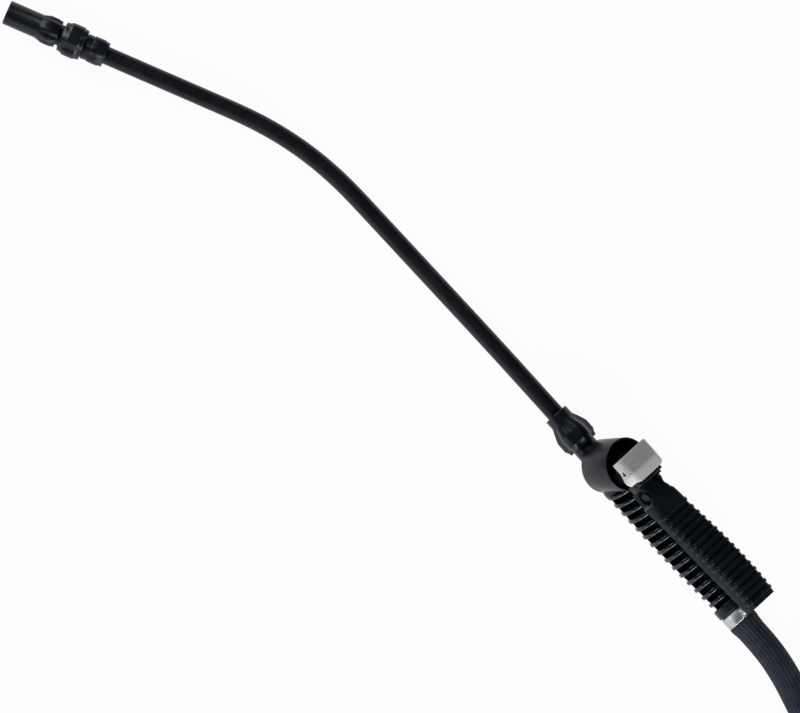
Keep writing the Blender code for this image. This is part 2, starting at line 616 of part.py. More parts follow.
def make_grip():
    grip = turned("grip_body", grip_profile(), [], BORE_LINE, BLACK, 20)
    drum = turned("drum_wall", [(0, DRUM_RADIUS), (DRUM_HEIGHT, DRUM_RADIUS)], [], VALVE_LINE, steps=28)
    boss = turned("drum_boss", [(-BOSS_DEPTH, BOSS_RADIUS), (0.001, BOSS_RADIUS)], [], VALVE_LINE)
    inside, chamfer = DRUM_RADIUS - DRUM_WALL, DRUM_CHAMFER
    cavity = turned(
        "drum_cavity",
        [(TOWER_TOP, 0), (TOWER_TOP, TOWER_RADIUS), (DRUM_FLOOR, TOWER_RADIUS), (DRUM_FLOOR, inside),
         (DRUM_HEIGHT - chamfer, inside), (DRUM_HEIGHT, inside + chamfer), (DRUM_HEIGHT + 0.002,
             inside + chamfer)],
        [], VALVE_LINE, steps=28,
    )
    ribs, pockets = make_ribs()
    bores, passage = grip_bores()
    inlet_tube = rod("inlet_tube", *passage, INLET_RADIUS + INLET_WALL, HANDLE)
    ear_length, ear_side = EAR_RADIUS - 0.0004, EAR_HALF_WIDTH - 0.0002
    ear = block(
        "lever_ear", (PIVOT_X - ear_length, -ear_side, 0.008), (PIVOT_X + ear_length, ear_side, PIVOT_Z),
            HANDLE,
    )
    ear_top = across("lever_ear_top", PIVOT_X, PIVOT_Z, EAR_HALF_WIDTH, EAR_RADIUS, HANDLE)
    lug_outer = LOCK_WIDTH - LOCK_WALL - CLEARANCE
    lugs = bmesh.new()
    for low, high in ((-lug_outer, -LUG_INNER), (LUG_INNER, lug_outer)):
        add_block(lugs, (LUG_FRONT, low, -0.0014), (LUG_BACK, high, LUG_TOP))
    join(grip, drum, boss)
    cut(grip, cavity)
    join(grip, ribs)
    cut(grip, pockets)
    join(grip, inlet_tube, ear, ear_top, solid("lock_lugs", lugs, HANDLE))
    cut(
        grip, *bores,
        across("lever_pin_hole", PIVOT_X, PIVOT_Z, 0.01, LEVER_PIN_RADIUS + CLEARANCE, HANDLE),
        across("lock_pin_hole", LOCK_X, LOCK_Z, 0.02, LOCK_PIN_RADIUS + CLEARANCE, HANDLE),
    )


# ---------------------------------------------------------------- valve

def make_valve():
    seat = CHAMBER_FLOOR + CLEARANCE
    turned(
        "valve_seat",
        [(seat, CHAMBER_RADIUS - CLEARANCE), (seat + SEAT_THICKNESS, CHAMBER_RADIUS - CLEARANCE)],
        [(seat, VALVE_HOLE_RADIUS), (seat + SEAT_THICKNESS, VALVE_HOLE_RADIUS)],
        VALVE_LINE, SEALS, COARSE,
    )
    head = seat + SEAT_THICKNESS + CLEARANCE
    stem = turned(
        "valve_stem",
        [(head, STEM_HEAD_RADIUS), (head + STEM_HEAD, STEM_HEAD_RADIUS), (head + STEM_HEAD, STEM_RADIUS),
         (EYE_BOTTOM + 0.001, STEM_RADIUS)],
        [], VALVE_LINE, BRASS, COARSE,
    )
    eye = block(
        "stem_eye", (-EYE_HALF_LENGTH, -EYE_HALF_WIDTH, EYE_BOTTOM), (EYE_HALF_LENGTH, EYE_HALF_WIDTH,
            EYE_TOP),
        VALVE_LINE,
    )
    join(stem, eye)
    cut(stem, across("stem_eye_hole", 0, EYE_HOLE, 0.01, LINK_PIN_RADIUS + CLEARANCE, VALVE_LINE))
    reach = FORK_GAP + FORK_CHEEK + 0.0006
    across("link_pin", 0, EYE_HOLE, reach, LINK_PIN_RADIUS, VALVE_LINE, STEEL)
    make_bonnet()
    make_spring(head + STEM_HEAD + CLEARANCE, CHAMBER_TOP)


def make_bonnet():
    start, end = CHAMBER_TOP + CLEARANCE, TOWER_TOP + CLEARANCE
    ring_end = start + RING_HEIGHT + 2 * CLEARANCE
    bore = STEM_RADIUS + CLEARANCE
    bonnet = turned(
        "valve_bonnet",
        [(start, BONNET_RADIUS), (end + 0.001, BONNET_RADIUS)],
        [(start, RING_RADIUS + CLEARANCE), (ring_end, RING_RADIUS + CLEARANCE), (ring_end, bore),
         (end + 0.001, bore)],
        VALVE_LINE, BRASS,
    )
    flange = turned(
        "bonnet_flange",
        [(end, BONNET_FLANGE_RADIUS), (end + BONNET_FLANGE, BONNET_FLANGE_RADIUS)],
        [(end, bore), (end + BONNET_FLANGE, bore)], VALVE_LINE, steps=6,
    )
    join(bonnet, flange)
    cut(bonnet, turned("bonnet_bore", [(ring_end, bore), (end + 0.005, bore)], [], VALVE_LINE))
    turned(
        "stem_ring",
        [(start + CLEARANCE, RING_RADIUS), (ring_end - CLEARANCE, RING_RADIUS)],
        [(start + CLEARANCE, bore), (ring_end - CLEARANCE, bore)], VALVE_LINE, SEALS, COARSE,
    )


def make_spring(bottom, top):
    wire = SPRING_WIRE / 2
    points, count = [], round(SPRING_TURNS * 8)
    for i in range(count + 1):
        angle = 2 * math.pi * SPRING_TURNS * i / count
        height = bottom + wire + (top - bottom - SPRING_WIRE) * i / count
        points.append((SPRING_RADIUS * math.cos(angle), SPRING_RADIUS * math.sin(angle), height))
    tube("valve_spring", points, wire, 1, VALVE_LINE, STEEL)


# ---------------------------------------------------------------- lever

def lever_section(half_width, crown, lower):
    """The channel's outer line, from one lower edge over the crown to the other."""
    radius, steps = LEVER_EDGE_RADIUS, 3
    side = [(half_width, lower)]
    for i in range(steps + 1):
        angle = math.pi / 2 * i / steps
        side.append((
            half_width - radius + radius * math.cos(angle), crown - radius + radius * math.sin(angle),
        ))
    return [(-y, z) for y, z in side] + list(reversed(side))


def lever_channel():
    shape, rows = bmesh.new(), []
    for x, half_width, crown, lower in LEVER_STATIONS:
        rows.append([shape.verts.new((x, y, z)) for y, z in lever_section(half_width, crown, lower)])
    for row, following in zip(rows, rows[1:]):
        for i in range(len(row) - 1):
            shape.faces.new((row[i], row[i + 1], following[i + 1], following[i]))
    bmesh.ops.recalc_face_normals(shape, faces=shape.faces)
    if shape.faces[0].normal.y > 0:
        bmesh.ops.reverse_faces(shape, faces=shape.faces)
    channel = solid("lever", shape, LEVER_PIVOT, DRUM_GREY)
    wall = channel.modifiers.new("Wall", "SOLIDIFY")
    wall.thickness = LEVER_WALL
    wall.offset = -1
    wall.use_even_offset = True
    return channel


def crown_at(x):
    for (x0, w0, crown0, _), (x1, w1, crown1, _) in zip(LEVER_STATIONS, LEVER_STATIONS[1:]):
        if x <= x1:
            share = (x - x0) / (x1 - x0)
            return crown0 + (crown1 - crown0) * share, w0 + (w1 - w0) * share
    return LEVER_STATIONS[-1][2], LEVER_STATIONS[-1][1]


def lever_ridges():
    ridges = bmesh.new()
    for i in range(RIDGE_COUNT):
        x = RIDGE_FIRST + RIDGE_PITCH * i
        if x > LEVER_STATIONS[-1][0] - RIDGE_RADIUS:
            break
        crown, half_width = crown_at(x)
        reach = half_width - LEVER_EDGE_RADIUS + 0.0006
        z = crown + RIDGE_HEIGHT - RIDGE_RADIUS
        add_rod(ridges, (x, -reach, z), (x, reach, z), RIDGE_RADIUS, 8)
    return solid("lever_ridges", ridges, LEVER_PIVOT)


def lever_front():
    """The raised lip, the wall under it and the fork that lifts the valve stem."""
    shapes = {
        "lever_nose": ((LIP_FRONT, -LIP_WIDTH, LIP_BOTTOM), (CHANNEL_START + 0.0005, LIP_WIDTH,
            CHANNEL_CROWN)),
        "lever_lip": ((LIP_FRONT, -LIP_WIDTH, CHANNEL_CROWN - LEVER_WALL), (LIP_BACK, LIP_WIDTH, LIP_TOP)),
    }
    nose, lip = (block(name, *corners, LEVER_PIVOT) for name, corners in shapes.items())
    inside = CHANNEL_WIDTH - LEVER_WALL
    hollow = block(
        "lever_nose_hollow", (LIP_FRONT + LEVER_WALL, -inside, 0.02),
        (CHANNEL_START + 0.003, inside, CHANNEL_CROWN - LEVER_WALL), LEVER_PIVOT,
    )
    cheeks, bearings = bmesh.new(), bmesh.new()
    for side in (-1, 1):
        inner, outer = sorted((side * FORK_GAP, side * (FORK_GAP + FORK_CHEEK)))
        add_block(cheeks, (FORK_FRONT, inner, FORK_BOTTOM), (LIP_FRONT + LEVER_WALL / 2, outer, FORK_TOP))
        inner, outer = sorted((side * BEARING_INNER, side * (CHANNEL_WIDTH - LEVER_WALL / 2)))
        add_block(
            bearings, (CHANNEL_START + 0.001, inner, BEARING_BOTTOM),
            (BEARING_BACK, outer, CHANNEL_CROWN - LEVER_WALL / 2),
        )
    return nose, lip, hollow, solid("lever_fork", cheeks, LEVER_PIVOT), solid("lever_bearings", bearings,
        LEVER_PIVOT)


def make_lever():
    lever = lever_channel()
    nose, lip, hollow, fork, bearings = lever_front()
    join(lever, nose)
    cut(lever, hollow)
    join(lever, lip, fork, bearings, lever_ridges())
    recess = bmesh.new()
    for side in (-1, 1):
        add_rod(
            recess, (PIVOT_X, side * RECESS_FLOOR, PIVOT_Z), (PIVOT_X, side * 0.02, PIVOT_Z),
                RECESS_RADIUS, 28,
        )
    pin = valve_point(EYE_HOLE)
    slot_radius = LINK_PIN_RADIUS + CLEARANCE
    slot = bmesh.new()
    add_rod(slot, (pin.x, -0.01, pin.z), (pin.x, 0.01, pin.z), slot_radius, 16)
    slide = solid("fork_slot_start", slot, LEVER_PIVOT)
    far = across("fork_slot_end", pin.x + FORK_SLOT, pin.z, 0.01, slot_radius, LEVER_PIVOT)
    between = block(
        "fork_slot_middle", (pin.x, -0.01, pin.z - slot_radius + 0.00002),
        (pin.x + FORK_SLOT, 0.01, pin.z + slot_radius - 0.00002), LEVER_PIVOT,
    )
    cut(
        lever, solid("lever_recesses", recess, LEVER_PIVOT),
        across("lever_bearing_hole", PIVOT_X, PIVOT_Z, 0.012, LEVER_PIN_RADIUS + CLEARANCE, LEVER_PIVOT),
        slide, far, between,
    )


def make_lever_pin():
    line = frame("lever_pin_line", rotation=(math.pi / 2, 0, 0), parent=LEVER_PIVOT)
    head = RECESS_FLOOR + CLEARANCE
    groove = RECESS_FLOOR + CLEARANCE
    groove_end = groove + CLIP_THICKNESS + CLEARANCE
    turned(
        "lever_pin",
        [(-groove_end - 0.0008, LEVER_PIN_RADIUS), (-groove_end, LEVER_PIN_RADIUS),
         (-groove_end, CLIP_GROOVE_RADIUS), (-groove, CLIP_GROOVE_RADIUS), (-groove, LEVER_PIN_RADIUS),
         (head, LEVER_PIN_RADIUS), (head, LEVER_PIN_HEAD_RADIUS),
         (head + LEVER_PIN_HEAD - 0.0004, LEVER_PIN_HEAD_RADIUS), (head + LEVER_PIN_HEAD,
             LEVER_PIN_HEAD_RADIUS - 0.0004)],
        [], line, STEEL, COARSE,
    )
    start = -groove - CLEARANCE / 2 - CLIP_THICKNESS
    clip = turned(
        "lever_pin_clip",
        [(start, CLIP_RADIUS), (start + CLIP_THICKNESS, CLIP_RADIUS)],
        [(start, CLIP_GROOVE_RADIUS + CLEARANCE), (start + CLIP_THICKNESS, CLIP_GROOVE_RADIUS + CLEARANCE)],
        line, STEEL, COARSE,
    )
    cut(clip, block("clip_mouth", (0, -0.0013, start - 0.001), (0.006, 0.0013, start + 0.002), line))


# ---------------------------------------------------------------- thumb lock

def make_thumb_lock():
    inside = LOCK_WIDTH - LOCK_WALL
    pad = block(
        "thumb_lock", (LOCK_FRONT, -LOCK_WIDTH, LOCK_BACK_EDGE), (LOCK_BACK, LOCK_WIDTH, LOCK_TOP),
        LOCK_PIVOT, PAD_GREY,
    )
    weld = bmesh.new()
    for side in (-1, 1):
        add_rod(
            weld, (LOCK_BACK - LOCK_CORNER, side * (LOCK_WIDTH - LOCK_CORNER), LOCK_BACK_EDGE - 0.001),
            (LOCK_BACK - LOCK_CORNER, side * (LOCK_WIDTH - LOCK_CORNER), LOCK_TOP + 0.001), LOCK_CORNER, 32,
        )
    corners = bmesh.new()
    for side in (-1, 1):
        low, high = sorted((side * (LOCK_WIDTH - LOCK_CORNER), side * (LOCK_WIDTH + 0.002)))
        add_block(
            corners, (LOCK_BACK - LOCK_CORNER, low, LOCK_BACK_EDGE - 0.0005), (LOCK_BACK + 0.002, high,
                LOCK_TOP + 0.0005),
        )
    corner_cut = solid("lock_corners", corners, LOCK_PIVOT)
    cut(corner_cut, solid("lock_corner_rounds", weld, LOCK_PIVOT))
    hollow = block(
        "lock_hollow", (LOCK_FRONT + LOCK_WALL, -inside, LOCK_BACK_EDGE - 0.002),
        (LOCK_BACK + 0.002, inside, LOCK_TOP - LOCK_WALL), LOCK_PIVOT,
    )
    front_edge = block(
        "lock_front_edge", (LOCK_FRONT - 0.002, -0.02, LOCK_BACK_EDGE - 0.002), (LOCK_STEP - 0.006, 0.02,
            LOCK_FRONT_EDGE),
        LOCK_PIVOT,
    )
    step = block(
        "lock_step", (LOCK_STEP - 0.0075, -0.02, LOCK_BACK_EDGE - 0.003), (LOCK_STEP, 0.02,
            LOCK_BACK_EDGE + 0.0033),
        LOCK_PIVOT,
    )
    cut(pad, corner_cut, hollow, front_edge, step)
    ribs = bmesh.new()
    for i in range(LOCK_RIBS):
        x = LOCK_FRONT + LOCK_RIB_PITCH * (i + 1)
        add_block(
            ribs, (x - 0.0003, -LOCK_WIDTH + 0.0005, LOCK_TOP - 0.0005),
            (x + 0.0003, LOCK_WIDTH - 0.0005, LOCK_TOP + LOCK_RIB_HEIGHT),
        )
    join(pad, solid("lock_ribs", ribs, LOCK_PIVOT))
    cut(pad, across("lock_pin_seat", LOCK_X, LOCK_Z, 0.02, LOCK_PIN_RADIUS + CLEARANCE, LOCK_PIVOT))
    across("lock_pin", LOCK_X, LOCK_Z, LOCK_WIDTH - CLEARANCE, LOCK_PIN_RADIUS, LOCK_PIVOT, STEEL)


# ---------------------------------------------------------------- inlet

def barb_outline(start, length):
    """The tail's three barbs, each steep towards the handle."""
    points = [(start, BARB_TAIL_RADIUS), (start + 0.0095, BARB_TAIL_RADIUS)]
    pitch = (length - 0.0095) / 2
    for i in range(2):
        x = start + 0.0095 + pitch * i
        points += [(x + 0.0002, BARB_RADIUS), (x + pitch - 0.0002, BARB_TAIL_RADIUS - 0.0006)]
    return points


def make_inlet():
    flange = SOCKET_START + CLEARANCE
    seal = flange + STRAINER_FLANGE + CLEARANCE
    thread = seal + STRAINER_SEAL + CLEARANCE
    cup = flange - STRAINER_LENGTH
    turned(
        "strainer",
        [(cup, STRAINER_RADIUS), (flange, STRAINER_RADIUS), (flange, STRAINER_FLANGE_RADIUS),
         (flange + STRAINER_FLANGE, STRAINER_FLANGE_RADIUS)],
        [(cup, 0.001), (cup + STRAINER_WALL, 0.001), (cup + STRAINER_WALL, STRAINER_RADIUS - STRAINER_WALL),
         (flange + STRAINER_FLANGE, STRAINER_RADIUS - STRAINER_WALL)],
        BORE_LINE, PALE, COARSE,
    )
    turned(
        "strainer_seal",
        [(seal, STRAINER_FLANGE_RADIUS), (seal + STRAINER_SEAL, STRAINER_FLANGE_RADIUS)],
        [(seal, STRAINER_RADIUS), (seal + STRAINER_SEAL, STRAINER_RADIUS)],
        BORE_LINE, SEALS, COARSE,
    )
    tail = GRIP_END + CLEARANCE
    socket = SOCKET_RADIUS - CLEARANCE
    turned(
        "hose_barb",
        [(thread, socket), (tail, socket)] + barb_outline(tail + CLEARANCE, BARB_LENGTH),
        [(thread, BARB_BORE), (tail + CLEARANCE + BARB_LENGTH, BARB_BORE)],
        BORE_LINE, BRASS, 16,
    )
    make_hose_end("hose_end", tail + CLEARANCE, BORE_LINE)
    make_clamp("clamp", tail + 2 * CLEARANCE, BORE_LINE)


def make_hose_end(name, start, line):
    """The hose's end, stretched over a barb and drawn in under the clamp."""
    under_clamp = HOSE_RADIUS - CLAMP_SQUEEZE
    clamped = start + CLAMP_WIDTH + 2 * CLEARANCE
    end = start + HOSE_END_LENGTH
    bore = BARB_TAIL_RADIUS + CLEARANCE
    turned(
        name,
        [(start, under_clamp), (clamped - 0.0004, under_clamp), (clamped, HOSE_FLARE), (clamped + 0.0035,
            HOSE_FLARE),
         (end - 0.002, HOSE_RADIUS), (end, HOSE_RADIUS)],
        [(start, bore), (start + 0.0088, bore), (start + 0.0092, BARB_RADIUS + CLEARANCE),
         (start + 0.0145, BARB_RADIUS + CLEARANCE), (start + BARB_LENGTH + CLEARANCE, HOSE_BORE), (end,
             HOSE_BORE)],
        line, RUBBER, 16,
    )


def make_clamp(name, start, line):
    """A band with two ears, drawn together by a screw across them."""
    inner = HOSE_RADIUS - CLAMP_SQUEEZE + CLEARANCE
    outer = inner + CLAMP_THICKNESS
    band = turned(
        name + "_band", [(start, outer), (start + CLAMP_WIDTH, outer)], [(start, inner),
            (start + CLAMP_WIDTH, inner)],
        line, STEEL, 24,
    )
    top, middle = inner + CLAMP_EAR_TOP, start + CLAMP_WIDTH / 2
    ears = bmesh.new()
    for side in (-1, 1):
        low, high = sorted((side * CLAMP_EAR_GAP, side * (CLAMP_EAR_GAP + CLAMP_EAR)))
        add_block(ears, (-top, low, start + 0.0005), (-inner - CLAMP_THICKNESS / 2, high,
            start + CLAMP_WIDTH - 0.0005))
    join(band, solid(name + "_ears", ears, line))
    split = block(
        name + "_split", (-top - 0.001, -CLAMP_EAR_GAP, start - 0.001),
        (0, CLAMP_EAR_GAP, start + CLAMP_WIDTH + 0.001), line,
    )
    height = -(outer + SCREW_HEAD_RADIUS)
    hole = rod(
        name + "_hole", (height, -0.01, middle), (height, 0.01, middle), SCREW_RADIUS + CLEARANCE, line,
            steps=16,
    )
    cut(band, split, hole)
    head = CLAMP_EAR_GAP + CLAMP_EAR + CLEARANCE
    screw = rod(
        name + "_screw", (height, -head - 0.0005, middle), (height, head + 0.0025, middle), SCREW_RADIUS,
            line, STEEL, 16,
    )
    join(screw, rod(
        name + "_screw_head", (height, -head - SCREW_HEAD, middle), (height, -head, middle),
            SCREW_HEAD_RADIUS, line,
        steps=20,
    ))


# ---------------------------------------------------------------- hose

def smooth_route(points, steps):
    """Points on a smooth curve through the given ones."""
    found = []
    for i in range(len(points) - 1):
        before, a, b, after = (points[min(max(k, 0), len(points) - 1)] for k in (i - 1, i, i + 1, i + 2))
        for j in range(steps):
            t = j / steps
            found.append((
                2 * a + (b - before) * t + (2 * before - 5 * a + 4 * b - after) * t * t
                + (3 * a - before - 3 * b + after) * t * t * t
            ) / 2)
    return found + [points[-1]]


def coil_point(turns):
    """Where the coil's centreline is after so many turns: it spirals in, out and in,
        and climbs as it reverses."""
    leg, past = divmod(turns, COIL_TURN)
    inwards = COIL_TURN - past if leg == 1 else past
    if leg >= COIL_LAYERS - 1:
        inwards += COIL_TURN
    radius = COIL_RADIUS - COIL_STEP * inwards
    layer = 0.0
    for i in range(1, COIL_LAYERS):
        t = min(max((turns - i * COIL_TURN) / 0.5 + 0.5, 0), 1)
        layer += t * t * (3 - 2 * t)
    last = max(turns - (COIL_LAYERS - 1) * COIL_TURN, 0)
    lift = END_LIFT * min(last / LAST_TURN, 1)
    angle = COIL_ENTRY + math.pi / 2 - 2 * math.pi * turns
    height = HOSE_RADIUS + FLOOR_GAP + COIL_STEP * layer + lift
    return Vector((COIL_X + radius * math.cos(angle), COIL_Y + radius * math.sin(angle), height))


def coil_line():
    total = (COIL_LAYERS - 1) * COIL_TURN + LAST_TURN
    count = round(total * COIL_POINTS)
    turns = [coil_point(total * i / count) for i in range(count + 1)]
    start, end = (turns[0] - turns[1]).normalized(), (turns[-1] - turns[-2]).normalized()
    start.z = end.z = 0
    straight = 2 * HOSE_RADIUS
    return [turns[0] + start.normalized() * straight] + turns + [turns[-1] + end.normalized() * straight]


def least_gap(points, radius):
    """The least distance between the surfaces of stretches that lie at least a quarter turn apart."""
    apart = COIL_POINTS // 4
    return min(
        (a - b).length for i, a in enumerate(points) for b in points[i + apart:]
    ) - 2 * radius


def make_hose():
    coil = coil_line()
    print(f"hose coil: least gap to itself {least_gap(coil, HOSE_RADIUS) * 1000:.2f} mm")
    tube("hose_coil", coil, HOSE_RADIUS, 1, STAND, RUBBER)
    exit_x = GRIP_END + 3 * CLEARANCE + HOSE_END_LENGTH
    into_coil = (coil[1] - coil[0]).normalized()
    end = coil[0] - into_coil * CLEARANCE
    route = (
        [Vector((exit_x, 0, AXIS_HEIGHT))] + [Vector(point) for point in HOSE_ROUTE]
        + [end - into_coil * 2 * HOSE_RADIUS, end]
    )
    run = smooth_route(route[:-1], ROUTE_STEPS)
    tube("hose_run", [route[0]] + run[1:] + [end], HOSE_RADIUS, 3, STAND, RUBBER)
    length = sum((b - a).length for a, b in zip(run, run[1:])) + sum((b - a).length for a, b in zip(coil,
        coil[1:]))
    print(f"hose: {length:.3f} m from the handle to its far fitting")
    out = (coil[-1] - coil[-2]).normalized()
    end = coil[-1] + out * (CLEARANCE + HOSE_END_LENGTH)
    return frame("far_end", end, (0, math.pi / 2, math.atan2(-out.y, -out.x)), STAND)


def make_far_end(line):
    """The hose's second end on its barb, with the swivel nut that goes on the sprayer's outlet."""
    make_hose_end("far_hose_end", 0, line)
    make_clamp("far_clamp", CLEARANCE, line)
    neck, inner = BARB_TAIL_RADIUS, END_NUT_RADIUS * math.cos(math.pi / 6) - END_NUT_WALL
    shoulder = -CLEARANCE - END_NUT_WALL
    flange = shoulder - CLEARANCE - END_FLANGE
    turned(
        "end_barb",
        [(flange, inner - CLEARANCE), (flange + END_FLANGE, inner - CLEARANCE), (flange + END_FLANGE, neck)]
        + barb_outline(0, BARB_LENGTH),
        [(flange, BARB_BORE), (BARB_LENGTH, BARB_BORE)],
        line, BRASS, 16,
    )
    turned(
        "end_seal",
        [(flange - CLEARANCE - END_SEAL, inner - CLEARANCE), (flange - CLEARANCE, inner - CLEARANCE)],
        [(flange - CLEARANCE - END_SEAL, BARB_BORE), (flange - CLEARANCE, BARB_BORE)],
        line, SEALS, COARSE,
    )
    nut_start = -CLEARANCE - END_NUT_LENGTH
    nut = turned(
        "end_nut", [(nut_start, END_NUT_RADIUS), (-CLEARANCE, END_NUT_RADIUS)], [], line, BRASS, 6,
    )
    cut(nut, turned(
        "end_nut_bore",
        [(nut_start - 0.001, inner), (shoulder, inner), (shoulder, neck + CLEARANCE), (0.001,
            neck + CLEARANCE)],
        [], line,
    ))


def stand_on_floor():
    """Sets the frame's origin under the middle of everything but the free hose, at floor height."""
    bpy.context.view_layer.update()
    graph = bpy.context.evaluated_depsgraph_get()
    loose = ("hose_run", "hose_coil", "far_hose_end", "far_clamp_band", "far_clamp_screw",
             "end_barb", "end_nut", "end_seal")
    corners = []
    for obj in PARTS.objects:
        if obj.type == "MESH" and obj.name not in loose:
            shape = obj.evaluated_get(graph)
            corners += [shape.matrix_world @ vertex.co for vertex in shape.data.vertices]
    low = [min(point[i] for point in corners) for i in range(3)]
    high = [max(point[i] for point in corners) for i in range(3)]
    STAND.location = (-(low[0] + high[0]) / 2, -(low[1] + high[1]) / 2, -low[2])
    bpy.context.view_layer.update()


make_grip()
make_valve()
make_lever()
make_lever_pin()
make_thumb_lock()
make_lance_nut()
make_lance_fixings()
make_nozzle(make_tube())
make_inlet()
make_far_end(make_hose())
stand_on_floor()
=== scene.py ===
import math

import bmesh
import bpy
from mathutils import Matrix, Vector


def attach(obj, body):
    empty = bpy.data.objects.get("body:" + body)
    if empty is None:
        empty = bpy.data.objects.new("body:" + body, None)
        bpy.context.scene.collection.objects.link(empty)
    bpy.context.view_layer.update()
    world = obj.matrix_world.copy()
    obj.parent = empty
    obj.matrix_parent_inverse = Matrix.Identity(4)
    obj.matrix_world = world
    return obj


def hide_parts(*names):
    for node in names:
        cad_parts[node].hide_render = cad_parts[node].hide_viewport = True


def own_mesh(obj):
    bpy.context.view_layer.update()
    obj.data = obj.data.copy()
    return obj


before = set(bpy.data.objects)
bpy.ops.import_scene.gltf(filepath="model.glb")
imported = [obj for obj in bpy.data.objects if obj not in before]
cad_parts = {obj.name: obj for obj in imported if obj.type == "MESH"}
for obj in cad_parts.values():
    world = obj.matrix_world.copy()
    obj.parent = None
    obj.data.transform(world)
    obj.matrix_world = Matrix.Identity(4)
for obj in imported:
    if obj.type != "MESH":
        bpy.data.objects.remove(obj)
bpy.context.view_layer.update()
bpy.context.scene.view_settings.view_transform = "Standard"
mm = 0.001
seamGap = 0.00001  # points nearer than this are one
print("frame loaded:", len(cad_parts), "nodes")


def turned(degrees, axis):
    return Matrix.Rotation(math.radians(degrees), 4, axis)


# Everything is placed from these three lines: the handle's, the valve's and the nozzle's own axis
handlePlace = {"datum": (0.1375, 0.036971, 0.013979), "roll": -30, "floor": -0.000221}
valvePlace = {"along": 56.5, "up": -0.9, "lean": 20.9}
nozzlePlace = {"tip": (-0.358558, -0.066756, 0.013979), "heading": 24.4}

handleFrame = Matrix.Translation(handlePlace["datum"]) @ turned(handlePlace["roll"], "X")
# In this one a turned piece's height runs to the hose
towardsHose = handleFrame @ turned(90, "Y")
valveFrame = (handleFrame @ Matrix.Translation((valvePlace["along"] * mm, 0, valvePlace["up"] * mm))
              @ turned(valvePlace["lean"], "Y"))
nozzleFrame = (Matrix.Translation(nozzlePlace["tip"]) @ turned(nozzlePlace["heading"], "Z")
               @ turned(90, "Y"))


# Small helpers for working by operator
def letGo():
    if bpy.context.object and bpy.context.object.mode == "EDIT":
        bpy.ops.object.mode_set(mode="OBJECT")
    bpy.ops.object.select_all(action="DESELECT")


def take(*objects):
    letGo()
    for obj in objects:
        obj.select_set(True)
    bpy.context.view_layer.objects.active = objects[0]


def nameIt(name):
    obj = bpy.context.object
    obj.name = obj.data.name = name
    bpy.ops.object.transform_apply(location=True, rotation=True, scale=True)
    return obj


def edit(obj):
    take(obj)
    bpy.ops.object.mode_set(mode="EDIT")
    bpy.ops.mesh.select_mode(type="VERT")


def pick(kind, isWanted):
    # selects the vertices, edges or faces that pass the test
    bpy.ops.mesh.select_mode(type=kind)
    bpy.ops.mesh.select_all(action="DESELECT")
    mesh = bpy.context.edit_object.data
    shape = bmesh.from_edit_mesh(mesh)
    for part in {"VERT": shape.verts, "EDGE": shape.edges, "FACE": shape.faces}[kind]:
        if isWanted(part):
            part.select_set(True)
    shape.select_flush_mode()
    bmesh.update_edit_mesh(mesh)


def soften(obj, width, segments=2, angle=30):
    # merges the seams, points the faces outwards and rounds the sharp edges
    edit(obj)
    selectAll()
    bpy.ops.mesh.remove_doubles(threshold=seamGap)
    bpy.ops.mesh.normals_make_consistent(inside=False)
    letGo()
    take(obj)
    if width:
        rounding = obj.modifiers.new("rounding", "BEVEL")
        rounding.width = width * mm
        rounding.segments = segments
        rounding.angle_limit = math.radians(angle)
        bpy.ops.object.modifier_apply(modifier="rounding")
    bpy.ops.object.shade_smooth_by_angle(angle=math.radians(angle + 5))
    return obj


def seat(obj, where):
    # brings a finished piece to its place, with the place in its mesh
    take(obj)
    obj.matrix_world = where @ obj.matrix_world
    bpy.ops.object.transform_apply(location=True, rotation=True, scale=True)
    return obj


def twin(obj, name):
    made = obj.copy()
    made.data = obj.data.copy()
    made.name = made.data.name = name
    bpy.context.collection.objects.link(made)
    return made


def mergeInto(obj, others):
    take(obj, *others)
    bpy.ops.object.join()
    return obj


def carve(obj, tool, operation="DIFFERENCE"):
    take(obj)
    made = obj.modifiers.new("carve", "BOOLEAN")
    made.operation = operation
    made.object = tool
    bpy.ops.object.modifier_apply(modifier="carve")
    bpy.data.objects.remove(tool)
    return obj


def addCube(name, centre, size):
    # a plain block, in mm
    letGo()
    bpy.ops.mesh.primitive_cube_add(size=1, location=[value * mm for value in centre],
                                    scale=[value * mm for value in size])
    return nameIt(name)


def addCrossPin(name, radius, depth, place, sides=32, stretch=1):
    # a cylinder that lies along Y, in mm, to cut holes with
    letGo()
    bpy.ops.mesh.primitive_cylinder_add(
        vertices=sides, radius=radius * mm, depth=depth * mm, location=[value * mm for value in place],
        rotation=(math.radians(90), 0, 0), scale=(stretch, 1, 1))
    return nameIt(name)


def addObject(name, data):
    obj = bpy.data.objects.new(name, data)
    bpy.context.collection.objects.link(obj)
    return obj


def selectAll():
    bpy.ops.mesh.select_all(action="SELECT")


def runsAlong(edge, axis):
    return abs(edge.verts[0].co[axis] - edge.verts[1].co[axis]) > 0.1 * mm


def openUnder(obj):
    # leaves a block's top and its two long sides, and stays in edit mode
    edit(obj)
    pick("FACE", lambda face: face.normal.z < -0.5 or abs(face.normal.x) > 0.5)
    bpy.ops.mesh.delete(type="FACE")


def thicken(obj, thickness):
    # gives an open skin its wall, inwards
    take(obj)
    wall = obj.modifiers.new("wall", "SOLIDIFY")
    wall.thickness = thickness * mm
    wall.offset = -1
    wall.use_even_offset = True
    bpy.ops.object.modifier_apply(modifier="wall")


